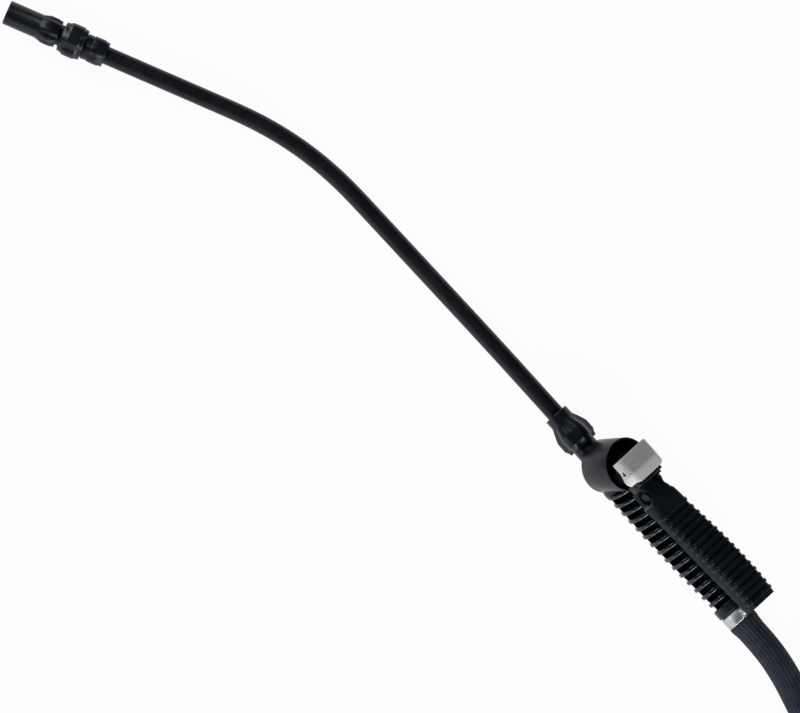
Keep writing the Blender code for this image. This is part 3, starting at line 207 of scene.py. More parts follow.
def turn(name, profile, sides=64):
    # pulls a ring up through (height, radius) pairs in mm; a profile that doesn't come back is closed flat
    height, radius = profile[0]
    letGo()
    bpy.ops.mesh.primitive_circle_add(vertices=sides, radius=radius * mm, location=(0, 0, height * mm))
    obj = nameIt(name)
    edit(obj)
    selectAll()
    for nextHeight, nextRadius in profile[1:]:
        bpy.ops.mesh.extrude_region_move(
            TRANSFORM_OT_translate={"value": (0, 0, (nextHeight - height) * mm)})
        if nextRadius != radius:
            share = nextRadius / radius
            bpy.ops.transform.resize(value=(share, share, 1), center_override=(0, 0, nextHeight * mm))
        height, radius = nextHeight, nextRadius
    selectAll()
    bpy.ops.mesh.remove_doubles(threshold=seamGap)
    bpy.ops.mesh.fill_holes(sides=0)
    selectAll()
    bpy.ops.mesh.normals_make_consistent(inside=False)
    letGo()
    return obj


fluteShares = (1, 0.72, 0.45)  # each press is narrower than the one before, which rounds the flute


def flute(obj, cuts):
    # presses round flutes into a nut's side, which leave its lobes
    edit(obj)
    for i in range(cuts["count"]):
        angle = 2 * math.pi * (i + 0.5) / cuts["count"]
        out = Vector((math.cos(angle), math.sin(angle), 0))
        for share in fluteShares:
            reach = math.radians(cuts["halfAngle"]) * share

            def inFlute(vert):
                flat = Vector((vert.co.x, vert.co.y, 0))
                return (cuts["low"] * mm <= vert.co.z <= cuts["high"] * mm
                        and flat.length > cuts["outside"] * mm and flat.angle(out) <= reach)

            pick("VERT", inFlute)
            bpy.ops.transform.translate(value=-out * cuts["depth"] * mm / len(fluteShares))
    letGo()


# Finishes
noiseSpread = (0.3, 0.7)  # where most of a noise's values lie
toneSpread = (0.35, 0.68)
usualShine = 0.5
bumpStrength = {"grain": 0.6, "mark": 0.5}


def startFinish(name, look):
    finish = bpy.data.materials.new(name)
    finish.use_nodes = True
    shader = finish.node_tree.nodes["Principled BSDF"]
    shader.inputs["Base Color"].default_value = (*look["dark"], 1)
    shader.inputs["Roughness"].default_value = look["gloss"][0]
    shader.inputs["Metallic"].default_value = look.get("metal", 0)
    shader.inputs["Specular IOR Level"].default_value = look.get("shine", usualShine)
    return finish, finish.node_tree.nodes, finish.node_tree.links, shader


def addMath(nodes, links, operation, *values):
    # each value is a number or another node's output
    node = nodes.new("ShaderNodeMath")
    node.operation = operation
    for socket, value in zip(node.inputs, values):
        if isinstance(value, float):
            socket.default_value = value
        else:
            links.new(value, socket)
    return node.outputs[0]


def addNoise(nodes, links, source, scale, detail=3, stretch=None):
    noise = nodes.new("ShaderNodeTexNoise")
    noise.inputs["Scale"].default_value = scale
    noise.inputs["Detail"].default_value = detail
    if stretch:
        drawn = nodes.new("ShaderNodeMapping")
        drawn.inputs["Scale"].default_value = stretch
        links.new(source, drawn.inputs["Vector"])
        source = drawn.outputs["Vector"]
    links.new(source, noise.inputs["Vector"])
    return noise.outputs["Fac"]


def addRange(nodes, links, value, low, high, spread=noiseSpread):
    ranged = nodes.new("ShaderNodeMapRange")
    for key, limit in zip(("From Min", "From Max", "To Min", "To Max"), (*spread, low, high)):
        ranged.inputs[key].default_value = limit
    links.new(value, ranged.inputs["Value"])
    return ranged.outputs["Result"]


def addTones(nodes, links, value, dark, light):
    tones = nodes.new("ShaderNodeValToRGB")
    for i, tone in enumerate((dark, light)):
        tones.color_ramp.elements[i].position = toneSpread[i]
        tones.color_ramp.elements[i].color = (*tone, 1)
    links.new(value, tones.inputs["Fac"])
    return tones.outputs["Color"]


def addBump(nodes, links, shader, height, depth, strength=1, before=None):
    bump = nodes.new("ShaderNodeBump")
    bump.inputs["Distance"].default_value = depth * mm
    bump.inputs["Strength"].default_value = strength
    links.new(height, bump.inputs["Height"])
    if before:
        links.new(before, bump.inputs["Normal"])
    links.new(bump.outputs["Normal"], shader.inputs["Normal"])
    return bump.outputs["Normal"]


def mouldedPlastic(name, look):
    # flow marks in the colour, fingers' polish in the gloss, and a fine spark-eroded grain
    finish, nodes, links, shader = startFinish(name, look)
    here = nodes.new("ShaderNodeTexCoord").outputs["Object"]
    flow = addNoise(nodes, links, here, look["flowScale"])
    links.new(addTones(nodes, links, flow, look["dark"], look["light"]), shader.inputs["Base Color"])
    polish = addNoise(nodes, links, here, look["polishScale"], 4)
    links.new(addRange(nodes, links, polish, *look["gloss"]), shader.inputs["Roughness"])
    grain = addNoise(nodes, links, here, look["grainScale"], 2)
    broad = addBump(nodes, links, shader, polish, look["wave"])
    addBump(nodes, links, shader, grain, look["grain"], bumpStrength["grain"], broad)
    return finish


def metalSurface(name, look):
    # drawn or rolled metal, with marks along one way and dull spots
    finish, nodes, links, shader = startFinish(name, look)
    here = nodes.new("ShaderNodeTexCoord").outputs["Object"]
    drawn = addNoise(nodes, links, here, look["markScale"], 4, look["drawn"])
    links.new(addTones(nodes, links, drawn, look["dark"], look["light"]), shader.inputs["Base Color"])
    spots = addNoise(nodes, links, here, look["spotScale"], 3)
    links.new(addRange(nodes, links, spots, *look["gloss"]), shader.inputs["Roughness"])
    addBump(nodes, links, shader, drawn, look["mark"], bumpStrength["mark"])
    return finish


blackLook = {"dark": (0.0038, 0.0056, 0.0098), "light": (0.0075, 0.0105, 0.0165), "flowScale": 55,
             "polishScale": 160, "gloss": (0.26, 0.38), "wave": 0.03, "grainScale": 2600, "grain": 0.004,
             "shine": 0.3}
ribLook = dict(blackLook, gloss=(0.2, 0.3), shine=0.5)  # hands have polished the grip
# a darker, matt copy of the black plastic: painted shade for the core between the ribs
pocketShadeLook = dict(blackLook, dark=(0.0018, 0.0026, 0.0045), light=(0.0032, 0.0045, 0.007), gloss=(0.6, 0.8),
                  shine=0.0)
drumLook = {"dark": (0.0042, 0.0052, 0.0092), "light": (0.0085, 0.0098, 0.0155), "flowScale": 40,
            "polishScale": 90, "gloss": (0.28, 0.36), "wave": 0.02, "grainScale": 3000, "grain": 0.003,
            "shine": 0.34}
leverLook = {"dark": (0.0038, 0.0066, 0.0098), "light": (0.0082, 0.012, 0.0165), "flowScale": 48,
             "polishScale": 190, "gloss": (0.22, 0.34), "wave": 0.04, "grainScale": 2600, "grain": 0.004,
             "shine": 0.16}
leverSideLook = dict(leverLook, gloss=(0.4, 0.55), shine=0.06)
# the pad's last colour is the shade painted into the grooves between its bars
padLook = {"dark": (0.52, 0.525, 0.515), "light": (0.57, 0.57, 0.555), "flowScale": 60,
           "polishScale": 240, "gloss": (0.42, 0.55), "wave": 0.03, "grainScale": 4200, "grain": 0.003,
           "paintedGrooveShade": (0.2, 0.2, 0.195)}
tubeLook = {"dark": (0.0045, 0.005, 0.0075), "light": (0.0078, 0.0088, 0.012), "flowScale": 30,
            "polishScale": 120, "gloss": (0.32, 0.42), "wave": 0.02, "grainScale": 2200, "grain": 0.003,
            "shine": 0.25}
palePlasticLook = {"dark": (0.42, 0.41, 0.37), "light": (0.52, 0.51, 0.47), "flowScale": 70,
                   "polishScale": 220, "gloss": (0.4, 0.55), "wave": 0.03, "grainScale": 3800, "grain": 0.006}
sealLook = {"dark": (0.012, 0.012, 0.012), "light": (0.022, 0.022, 0.022), "flowScale": 90,
            "polishScale": 260, "gloss": (0.6, 0.78), "wave": 0.03, "grainScale": 2800, "grain": 0.01}
hoseLook = {"dark": (0.0105, 0.014, 0.0235), "light": (0.0185, 0.0235, 0.036), "flowScale": 120,
            "polishScale": 260, "gloss": (0.45, 0.6), "wave": 0.03, "grainScale": 2400, "grain": 0.008,
            "shine": 0.22}
bandLook = {"dark": (0.46, 0.5, 0.53), "light": (0.55, 0.59, 0.62), "markScale": 500, "drawn": (0.08, 1, 1),
            "spotScale": 150, "gloss": (0.42, 0.46), "metal": 1.0, "mark": 0.0005}
steelLook = {"dark": (0.36, 0.37, 0.38), "light": (0.55, 0.56, 0.58), "markScale": 700, "drawn": (1, 1, 0.15),
             "spotScale": 260, "gloss": (0.26, 0.4), "metal": 1.0, "mark": 0.003}
blackPinLook = {"dark": (0.006, 0.008, 0.011), "light": (0.012, 0.015, 0.019), "markScale": 700,
                "drawn": (1, 1, 0.2), "spotScale": 300, "gloss": (0.4, 0.5), "mark": 0.003, "shine": 0.1}
brassLook = {"dark": (0.5, 0.34, 0.13), "light": (0.68, 0.49, 0.22), "markScale": 600, "drawn": (1, 0.15, 1),
             "spotScale": 210, "gloss": (0.24, 0.42), "metal": 1.0, "mark": 0.003}
dullBrassLook = {"dark": (0.012, 0.010, 0.008), "light": (0.03, 0.024, 0.016), "markScale": 600,
                 "drawn": (1, 0.2, 1), "spotScale": 190, "gloss": (0.4, 0.6), "metal": 0.5, "mark": 0.004}

blackPlastic = mouldedPlastic("blackPlastic", blackLook)
ribPlastic = mouldedPlastic("ribPlastic", ribLook)
pocketShadePlastic = mouldedPlastic("pocketShadePlastic", pocketShadeLook)
drumPlastic = mouldedPlastic("drumPlastic", drumLook)
leverPlastic = mouldedPlastic("leverPlastic", leverLook)
leverSidePlastic = mouldedPlastic("leverSidePlastic", leverSideLook)
padPlastic = mouldedPlastic("padPlastic", padLook)
tubeCoating = mouldedPlastic("tubeCoating", tubeLook)
palePlastic = mouldedPlastic("palePlastic", palePlasticLook)
sealRubber = mouldedPlastic("sealRubber", sealLook)
clampSteel = metalSurface("clampSteel", bandLook)
brightSteel = metalSurface("brightSteel", steelLook)
blackenedPin = metalSurface("blackenedPin", blackPinLook)
turnedBrass = metalSurface("turnedBrass", brassLook)
dullBrass = metalSurface("dullBrass", dullBrassLook)  # made nearly black, inside the drum
hoseSkin = mouldedPlastic("hoseSkin", hoseLook)
print("finishes ready")


def paint(piece, finish):
    piece.data.materials.clear()
    piece.data.materials.append(finish)


def paintFaces(piece, finish, isWanted):
    # gives the faces that pass the test a second finish
    piece.data.materials.append(finish)
    edit(piece)
    pick("FACE", isWanted)
    piece.active_material_index = len(piece.data.materials) - 1
    bpy.ops.object.material_slot_assign()
    letGo()


def dress(piece, finish, slot, body, *nodes):
    if finish:
        paint(piece, finish)
    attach(piece, body)
    if nodes:
        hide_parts(*nodes)


# Camera: straight down on the lance, from far away
cameraView = {"centre": (0.0315, -0.0208), "height": 14.0, "wide": 0.6, "turn": 47.9, "clipEnd": 60}


def placeCamera():
    data = bpy.data.cameras.new("viewCamera")
    data.lens = data.sensor_width * cameraView["height"] / cameraView["wide"]
    data.clip_end = cameraView["clipEnd"]
    camera = addObject("viewCamera", data)
    camera.location = (*cameraView["centre"], cameraView["height"] + handlePlace["datum"][2])
    camera.rotation_euler = (0, 0, math.radians(cameraView["turn"]))
    bpy.context.scene.camera = camera


# Studio: white floor, soft lamps low at the sides, and a darker ceiling
studio = {"floor": 14, "floorHeight": -0.0003, "floorLook": {"dark": (0.86, 0.86, 0.86), "gloss": (0.9, 0.9)},
          "floorShare": 0.95, "skyLow": 0.9, "skyHigh": 0.04, "fade": (0.1, 0.45)}
lamps = [
    # name, place from the view's centre in m, size in m, watts
    ("hoseSideLamp", (1.9, -0.3, 1.0), 1.1, 42),
    ("lanceSideLamp", (-2.0, 0.2, 1.0), 1.6, 42),
    ("cornerLamp", (1.4, -1.6, 0.85), 1.2, 18),
    ("nearLamp", (-0.3, -2.1, 0.7), 1.4, 9),
]


def makeFloor():
    # nearly plain white as seen or mirrored, and matt to the light that falls on it
    letGo()
    bpy.ops.mesh.primitive_plane_add(size=studio["floor"], location=(0, 0, studio["floorHeight"]))
    floor = nameIt("studioFloor")
    finish, nodes, links, shader = startFinish("floorWhite", studio["floorLook"])
    rays = nodes.new("ShaderNodeLightPath").outputs
    direct = addMath(nodes, links, "MAXIMUM", rays["Is Camera Ray"], rays["Is Glossy Ray"])
    seen = addMath(nodes, links, "MAXIMUM", direct, rays["Is Transmission Ray"])
    share = addMath(nodes, links, "MULTIPLY", seen, studio["floorShare"])
    white = nodes.new("ShaderNodeEmission")
    mixed = nodes.new("ShaderNodeMixShader")
    links.new(share, mixed.inputs["Fac"])
    links.new(shader.outputs["BSDF"], mixed.inputs[1])
    links.new(white.outputs["Emission"], mixed.inputs[2])
    links.new(mixed.outputs["Shader"], nodes["Material Output"].inputs["Surface"])
    floor.data.materials.append(finish)


def makeSky():
    world = bpy.data.worlds.new("studioWorld")
    world.use_nodes = True
    bpy.context.scene.world = world
    nodes, links = world.node_tree.nodes, world.node_tree.links
    way = nodes.new("ShaderNodeTexCoord")
    split = nodes.new("ShaderNodeSeparateXYZ")
    links.new(way.outputs["Generated"], split.inputs["Vector"])
    strength = addRange(nodes, links, split.outputs["Z"], studio["skyLow"], studio["skyHigh"], studio["fade"])
    links.new(strength, nodes["Background"].inputs["Strength"])


def makeLamps():
    centre = Vector((*cameraView["centre"], 0))
    for name, spot, size, watts in lamps:
        data = bpy.data.lights.new(name, "AREA")
        data.size = size
        data.energy = watts
        lamp = addObject(name, data)
        lamp.location = Vector(spot) + centre
        lamp.rotation_euler = (centre - lamp.location).to_track_quat("-Z", "Y").to_euler()


placeCamera()
makeFloor()
makeSky()
makeLamps()
print("camera and studio ready")

# Hose, on the route of the CAD: out of the handle, past the picture's edge and into a coil
stand = Vector((*handlePlace["datum"][:2], handlePlace["floor"]))
hoseRoute = [
    (0.2243, 0, 0.0142), (0.236, -0.0002, 0.01415), (0.248, -0.0010, 0.0140), (0.2606, -0.0029, 0.0135),
    (0.2726, -0.0055, 0.0128), (0.2825, -0.0082, 0.0121), (0.293, -0.0110, 0.0115),
    (0.311, -0.0147, 0.0111), (0.333, -0.0155, 0.0111), (0.355, -0.0115, 0.0111), (0.3765, -0.0036, 0.0111),
]
hoseSizes = {"radius": 0.011, "stepsBetween": 3, "lift": 0.0002, "liftBelow": 0.0118, "ribs": 24,
             "groove": 0.4, "ribShape": (0, 0.55, 1, 1, 0.55)}
hoseSides = hoseSizes["ribs"] * len(hoseSizes["ribShape"])
coilSizes = {"centre": (0.465, -0.083), "radius": 0.110, "step": 0.0228, "legTurns": 0.97, "points": 24,
             "layers": 4, "climbTurns": 0.5, "entry": 25.9, "lastTurn": 0.26, "endLift": 0.0045,
             "floorGap": 0.0001}


def coilPoint(turns):
    # the coil spirals in, out and in, and climbs one hose where it turns back
    c = coilSizes
    leg, past = divmod(turns, c["legTurns"])
    inwards = c["legTurns"] - past if leg == 1 else past
    if leg >= c["layers"] - 1:
        inwards += c["legTurns"]
    radius = c["radius"] - c["step"] * inwards
    layer = 0
    for i in range(1, c["layers"]):
        share = min(max((turns - i * c["legTurns"]) / c["climbTurns"] + 0.5, 0), 1)
        layer += share * share * (3 - 2 * share)
    last = max(turns - (c["layers"] - 1) * c["legTurns"], 0)
    lift = c["endLift"] * min(last / c["lastTurn"], 1)
    angle = math.radians(c["entry"]) + math.pi / 2 - 2 * math.pi * turns
    return Vector((
        c["centre"][0] + radius * math.cos(angle), c["centre"][1] + radius * math.sin(angle),
        hoseSizes["radius"] + c["floorGap"] + c["step"] * layer + lift))


def coilLine():
    c = coilSizes
    total = (c["layers"] - 1) * c["legTurns"] + c["lastTurn"]
    count = round(total * c["points"])
    turns = [coilPoint(total * i / count) for i in range(count + 1)]
    start, end = turns[0] - turns[1], turns[-1] - turns[-2]
    start.z = end.z = 0
    straight = 2 * hoseSizes["radius"]
    return [turns[0] + start.normalized() * straight] + turns + [turns[-1] + end.normalized() * straight]


def hoseLine():
    # a smooth curve through the route's points, then the coil
    coil = coilLine()
    into = (coil[1] - coil[0]).normalized()
    points = [Vector(point) for point in hoseRoute] + [coil[0] - into * 2 * hoseSizes["radius"]]
    line = []
    for i in range(len(points) - 1):
        before, a, b, after = (points[min(max(k, 0), len(points) - 1)] for k in (i - 1, i, i + 1, i + 2))
        for j in range(hoseSizes["stepsBetween"]):
            t = j / hoseSizes["stepsBetween"]
            line.append((2 * a + (b - before) * t + (2 * before - 5 * a + 4 * b - after) * t * t
                         + (3 * a - before - 3 * b + after) * t * t * t) / 2)
    path = []
    for point in line + coil:
        lift = hoseSizes["lift"] if point.z < hoseSizes["liftBelow"] else 0
        path.append(point + stand + Vector((0, 0, lift)))
    return path, coil


def addLine(curve, points, isClosed=False):
    spline = curve.splines.new("POLY")
    spline.points.add(len(points) - 1)
    spline.use_cyclic_u = isClosed
    for spot, place in zip(spline.points, points):
        spot.co = (*place, 1)


def ribbedRing(radius):
    # the hose's cut: shallow grooves between fine ribs
    points = []
    for i in range(hoseSides):
        reach = radius - hoseSizes["groove"] * mm * hoseSizes["ribShape"][i % len(hoseSizes["ribShape"])]
        angle = 2 * math.pi * i / hoseSides
        points.append((reach * math.cos(angle), reach * math.sin(angle), 0))
    ring = bpy.data.curves.new("hoseCut", "CURVE")
    addLine(ring, points, True)
    return addObject("hoseCut", ring)


def drawTube(name, line, radius, sides, cut=None):
    curve = bpy.data.curves.new(name, "CURVE")
    curve.dimensions = "3D"
    if cut:
        curve.bevel_mode = "OBJECT"
        curve.bevel_object = cut
    else:
        curve.bevel_depth = radius
        curve.bevel_resolution = sides
    curve.use_fill_caps = True
    addLine(curve, line)
    obj = addObject(name, curve)
    take(obj)
    bpy.ops.object.convert(target="MESH")
    if cut:
        bpy.data.objects.remove(cut)
    return soften(bpy.context.object, 0, angle=40)


hosePath, coilPath = hoseLine()
hose = drawTube("sprayHose", hosePath, hoseSizes["radius"], 0, ribbedRing(hoseSizes["radius"]))
farWay = (coilPath[-1] - coilPath[-2]).normalized()
farEnd = {"gap": 0.3, "sleeve": 20.8}  # how far the fitting's own frame stands off the hose's last cut, in mm
farPlace = coilPath[-1] + stand + farWay * (farEnd["gap"] * mm + farEnd["sleeve"] * mm)
farFrame = (Matrix.Translation(farPlace)
            @ Matrix.Rotation(math.atan2(-farWay.y, -farWay.x), 4, "Z")
            @ turned(90, "Y"))

# The hose's ends: stretched over a barb, drawn in under the clamp
hoseEnd = {"length": 21.4, "clampRoom": 9.9, "clamped": 10.9, "flare": 11.9, "plain": 11.0, "bore": 8.5,
           "skin": 9.5}


def makeHoseEnd(name, start, where):
    h = hoseEnd
    s, e = start, start + h["length"]
    room = start + h["clampRoom"]
    obj = turn(name, [
        (s, h["bore"]), (s, h["clamped"] - 0.5), (s + 0.4, h["clamped"]),
        (room - 0.5, h["clamped"]), (room + 0.1, h["flare"] - 0.25), (room + 0.7, h["flare"]),
        (room + 3, h["flare"]), (room + 5.5, h["flare"] - 0.45), (e - 2, h["plain"] + 0.05),
        (e, h["plain"]), (e, h["bore"]), (s, h["bore"])],
        hoseSides)
    edit(obj)
    step = 2 * math.pi / hoseSides
    pick("VERT", lambda vert: vert.co.xy.length > h["skin"] * mm
         and round(math.atan2(vert.co.y, vert.co.x) / step) % len(hoseSizes["ribShape"]) != 0)
    inner = 1 - hoseSizes["groove"] / h["plain"]
    bpy.ops.transform.resize(value=(inner, inner, 1), center_override=(0, 0, 0))
    letGo()
    soften(obj, 0, angle=40)
    return seat(obj, where)


# Hose clamps: a rolled band, two ears and a screw with a slotted round head
clamp = {"width": 9, "inner": 11.2, "wall": 0.8, "earGap": 1.2, "ear": 1.2, "earFoot": 0.4, "earTop": 6.8,
         "earRound": 2.4, "earEdge": 0.18, "hole": 2.3, "holeDepth": 12, "screw": 2.0, "threads": 9,
         "pitch": 0.6, "threadDepth": 0.22, "screwHead": 3.5, "headHeight": 2.6, "slot": (8, 0.9, 2.4)}


def makeClampBand(name, start, where):
    c = clamp
    inner, outer, e = c["inner"], c["inner"] + c["wall"], start + c["width"]
    band = turn(name, [
        (start, inner), (start, outer - 0.2), (start + 0.25, outer), (start + 0.7, outer),
        (start + 1.3, outer - 0.16), (e - 1.3, outer - 0.16), (e - 0.7, outer), (e - 0.25, outer),
        (e, outer - 0.2), (e, inner), (start, inner)], 96)
    middle, top = start + c["width"] / 2, inner + c["earTop"]
    carve(band, addCube("slit", (-(top + outer) / 2, 0, middle),
                        (top - outer + 2, 2 * c["earGap"], c["width"] + 2)))
    foot = inner + c["earFoot"]
    ears = []
    for side in (-1, 1):
        ear = addCube(name + "Ear", (-(top + foot) / 2, side * (c["earGap"] + c["ear"] / 2), middle),
                      (top - foot, c["ear"], c["width"] - 1))
        edit(ear)
        pick("EDGE", lambda edge: not runsAlong(edge, 2)
             and all(v.co.x < -(top - 0.1) * mm for v in edge.verts))
        bpy.ops.mesh.bevel(offset=c["earRound"] * mm, segments=5)
        letGo()
        height = -(outer + c["screwHead"])
        carve(ear, addCrossPin("earHole", c["hole"], c["holeDepth"], (height, 0, middle)))
        ears.append(soften(ear, c["earEdge"], 2))
    soften(band, 0.06, 1)
    mergeInto(band, ears)
    return seat(band, where)


def makeClampScrew(name, start, where):
    c = clamp
    head = c["earGap"] + c["ear"] + 0.3
    r, big = c["screw"], c["screwHead"]
    threads = []
    for i in range(c["threads"]):
        crest = -head + c["pitch"] / 2 + i * c["pitch"]
        threads += [(crest, r), (crest + c["pitch"] / 2, r - c["threadDepth"])]
    screw = turn(name, [(-head, r)] + threads + [(head + 2.2, r - 0.1), (head + 2.5, r - 0.5)], 32)
    face = -head - c["headHeight"]
    cap = turn(name + "Head", [(face, big - 0.7), (face + 0.4, big - 0.15), (-head - 1.0, big - 0.1),
                               (-head - 0.9, big), (-head - 0.15, big), (-head, big - 0.15)], 36)
    carve(cap, addCube("slot", (0, 0, face), c["slot"]))
    soften(cap, 0.1, 1)
    soften(screw, 0)
    mergeInto(screw, [cap])
    height = -(c["inner"] + c["wall"] + big)
    middle = start + c["width"] / 2
    lying = Matrix.Translation((height * mm, 0, middle * mm)) @ turned(-90, "X")
    return seat(screw, where @ lying)


handleHoseEnd = makeHoseEnd("handleHoseEnd", 202.8, towardsHose)
farHoseEnd = makeHoseEnd("farHoseEnd", 0, farFrame)
handleBand = makeClampBand("handleClampBand", 203.5, towardsHose)
farBand = makeClampBand("farClampBand", 0.3, farFrame)
handleScrew = makeClampScrew("handleClampScrew", 203.5, towardsHose)
farScrew = makeClampScrew("farClampScrew", 0.3, farFrame)

# Swivel nut at the far end: a hexagon with chamfered corners
endNut = {"wall": 2.0, "neck": 8.5, "chamfer": 1.5, "chamferLength": 1.2, "edge": 0.15}


def makeEndNut():
    # its length and width are read off the CAD's own nut
    inward = farFrame.inverted()
    places = [inward @ vert.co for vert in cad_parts["end_nut"].data.vertices]
    start, end = min(p.z for p in places) / mm, max(p.z for p in places) / mm
    corner = max(p.xy.length for p in places) / mm
    inner = corner * math.cos(math.pi / 6) - endNut["wall"]
    print(f"end nut: {start:.2f} to {end:.2f}, corner {corner:.2f}")
    hexagon = turn("swivelNut", [(start, corner), (end, corner)], 6)
    rounded = turn("rounded", [
        (start - 0.1, corner - endNut["chamfer"]), (start + endNut["chamferLength"], corner + 0.1),
        (end - endNut["chamferLength"], corner + 0.1), (end + 0.1, corner - endNut["chamfer"])], 64)
    carve(hexagon, rounded, "INTERSECT")
    bore = turn("bore", [(start - 1, inner), (start + 0.5, inner), (end - endNut["wall"], inner),
                         (end - endNut["wall"], endNut["neck"]), (end + 1, endNut["neck"])], 48)
    carve(hexagon, bore)
    soften(hexagon, endNut["edge"], 1)
    return seat(hexagon, farFrame)


swivelNut = makeEndNut()
print("hose ends, clamps and swivel nut made")

# Lance tube: a slight bow, then one eased bend
tubeSizes = {"radius": 6.825, "front": 27.7, "bowStart": 30, "bowLength": 60, "bow": 0.75, "bendStart": 200.5,
             "bendLength": 144.5, "ease": 36, "bend": 23.65, "farStraight": 89.5, "inNut": 23.45,
             "keepEvery": 3, "sides": 16}


def tubeHeading(distance):
    t = tubeSizes
    bow = min(max((distance - t["bowStart"]) / t["bowLength"], 0), 1) * t["bow"]
    along = min(max(distance - t["bendStart"], 0), t["bendLength"])
    rise = min(along, t["ease"])
    fall = max(along - (t["bendLength"] - t["ease"]), 0)
    full = min(max(along - t["ease"], 0), t["bendLength"] - 2 * t["ease"])
    soFar = rise * rise / (2 * t["ease"]) + full + fall - fall * fall / (2 * t["ease"])
    return math.radians(bow + t["bend"] / (t["bendLength"] - t["ease"]) * soFar)


def makeLanceTube():
    t = tubeSizes
    end = t["bendStart"] + t["bendLength"] + t["farStraight"] + t["inNut"]
    count = round(end)
    place, line = Vector((0, 0, 0)), [Vector((t["front"], 0, 0)), Vector((0, 0, 0))]
    for i in range(count):
        heading = tubeHeading((i + 0.5) * end / count)
        place = place + Vector((-math.cos(heading), -math.sin(heading), 0)) * end / count
        if i % t["keepEvery"] == t["keepEvery"] - 1 or i == count - 1:
            line.append(place.copy())
    datum = Vector(handlePlace["datum"])
    return drawTube("bentTube", [datum + point * mm for point in line], t["radius"] * mm, t["sides"])


lanceTube = makeLanceTube()

# Nuts and nozzle, all turned and fluted: (height, radius) in mm
lanceNut = {
    "profile": [(4.3, 7.1), (4.3, 9.3), (4.7, 9.7), (11.3, 9.7), (12.8, 10.2), (17, 12.1), (21, 13.65),
                (22.5, 14.2), (30.75, 14.2), (31.9, 13.4), (32.3, 13.1), (34, 12.55), (35.2, 12.4),
                (35.6, 12.0), (35.6, 9.5), (11.2, 9.5), (11.2, 7.1), (4.3, 7.1)],
    "flutes": {"count": 6, "halfAngle": 17, "depth": 1.5, "low": 12.5, "high": 36, "outside": 9.9},
}
adjustNut = {
    "profile": [(45.75, 9.6), (45.75, 11.0), (46.2, 11.3), (48, 12), (50.25, 13.2), (51, 13.65),
                (59.6, 13.65), (60.75, 12.75), (63, 12.5), (63.75, 11.9), (63.75, 11.4), (59.7, 11.4),
                (59.7, 9.6), (45.75, 9.6)],
    "flutes": {"count": 6, "halfAngle": 18, "depth": 1.25, "low": 45.7, "high": 64, "outside": 11.6},
}
tubeNut = {
    "profile": [(64.5, 9.6), (64.5, 9.7), (64.9, 9.95), (69.5, 10.1), (69.75, 10.7), (70.1, 10.85),
                (78, 10.85), (79.5, 10.1), (81.3, 9.85), (81.75, 9.5), (81.75, 7.15), (77.9, 7.15),
                (77.9, 9.4), (64.5, 9.4), (64.5, 9.6)],
    "flutes": {"count": 6, "halfAngle": 16, "depth": 0.85, "low": 69.4, "high": 82, "outside": 9.65},
}
nozzleCap = {
    "profile": [(0.75, 5.2), (0.75, 8.7), (0.95, 9.1), (1.45, 9.375), (27.75, 9.375), (28.5, 9.68),
                (33, 11.3), (39.75, 11.3), (41.2, 10.7), (42.6, 10.7), (43, 10.4), (43, 8.5), (22, 8.5),
                (22, 6.8), (2.95, 6.8), (2.95, 4.0), (2.2, 4.0), (0.75, 5.2)],
    "flutes": {"count": 10, "halfAngle": 11, "depth": 0.75, "low": 30.5, "high": 43.2, "outside": 9.9},
}
nutEdge = {"width": 0.16, "angle": 28}


def makeNut(name, sizes, where, sides=72):
    obj = turn(name, sizes["profile"], sides)
    flute(obj, sizes["flutes"])
    soften(obj, nutEdge["width"], 2, nutEdge["angle"])
    return seat(obj, where)
handleNut = makeNut("handleNut", lanceNut, towardsHose)
middleNut = makeNut("middleNut", adjustNut, nozzleFrame)
smallNut = makeNut("smallNut", tubeNut, nozzleFrame)
sprayCap = makeNut("sprayCap", nozzleCap, nozzleFrame, 80)
print("tube, nuts and nozzle made")

# Grip: turned core, fifteen leaning ribs, drum with its tower, lugs and ear
grip = {
    "ribs": 15, "ribFirst": 79.6, "ribPitch": 7.82, "ribThick": 3.2, "ribRadius": 14.1, "ribDepth": 1.7,
    "ribHub": 0.3, "taper": 2.8, "taperStart": 105, "taperLength": 84, "lean": 15, "leanRoom": 0.8,
    "valleyStart": 78.5, "pocketStart": 78.3, "paintedShadeStart": 78.6, "pocketSide": 6.5, "pocketBottom": -7,
    "endCollar": 194.7, "end": 202.6, "endRadius": 12.3, "endBore": 8.1, "boreFloor": 195.3, "waterway": 5.3,
}
coreFront = [
    (28, 4), (28, 7.2), (19.3, 7.2), (19.3, 8.4), (16, 8.4), (16, 9.0), (16.3, 9.2), (35.6, 9.2),
    (35.9, 9.65), (56, 9.65), (60, 10.4), (68, 12.5), (73.2, 13.7), (74, 14), (77.6, 14), (78, 13.6),
]
lugSizes = {"from": (66.7, 10.7, -1.4), "to": (76.5, 13.2, 44.7), "edge": 0.6}
earSizes = {"from": (92.1, -5.2, 8), "to": (99.1, 5.2, 36.3), "edge": 2.4}
inletSizes = {"profile": [(-3, 4), (-3, 5), (25, 5), (25, 4)], "place": (79.5, 0, 8.3), "lean": -68}
drumProfile = [
    (-6, 3), (-6, 7.6), (-5.4, 8.6), (-1, 9), (-0.1, 9.6), (0, 18.4), (0.35, 19.4), (1.1, 20), (2, 20.2),
    (31.2, 20.2), (31.75, 20.0), (31.9, 19.75), (31.9, 19.25), (31.1, 18.4), (7, 18.4), (6.3, 18.1),
    (6, 17.4), (6, 10.9), (6.6, 10), (25.3, 10), (25.7, 9.6), (25.7, 8.1), (21.7, 8.1), (21.7, 6.2),
    (9.5, 6.2), (9.5, 3), (-6, 3),
]


def ribRadius(along):
    past = max(along - grip["taperStart"], 0) / grip["taperLength"]
    return grip["ribRadius"] - grip["taper"] * past * past


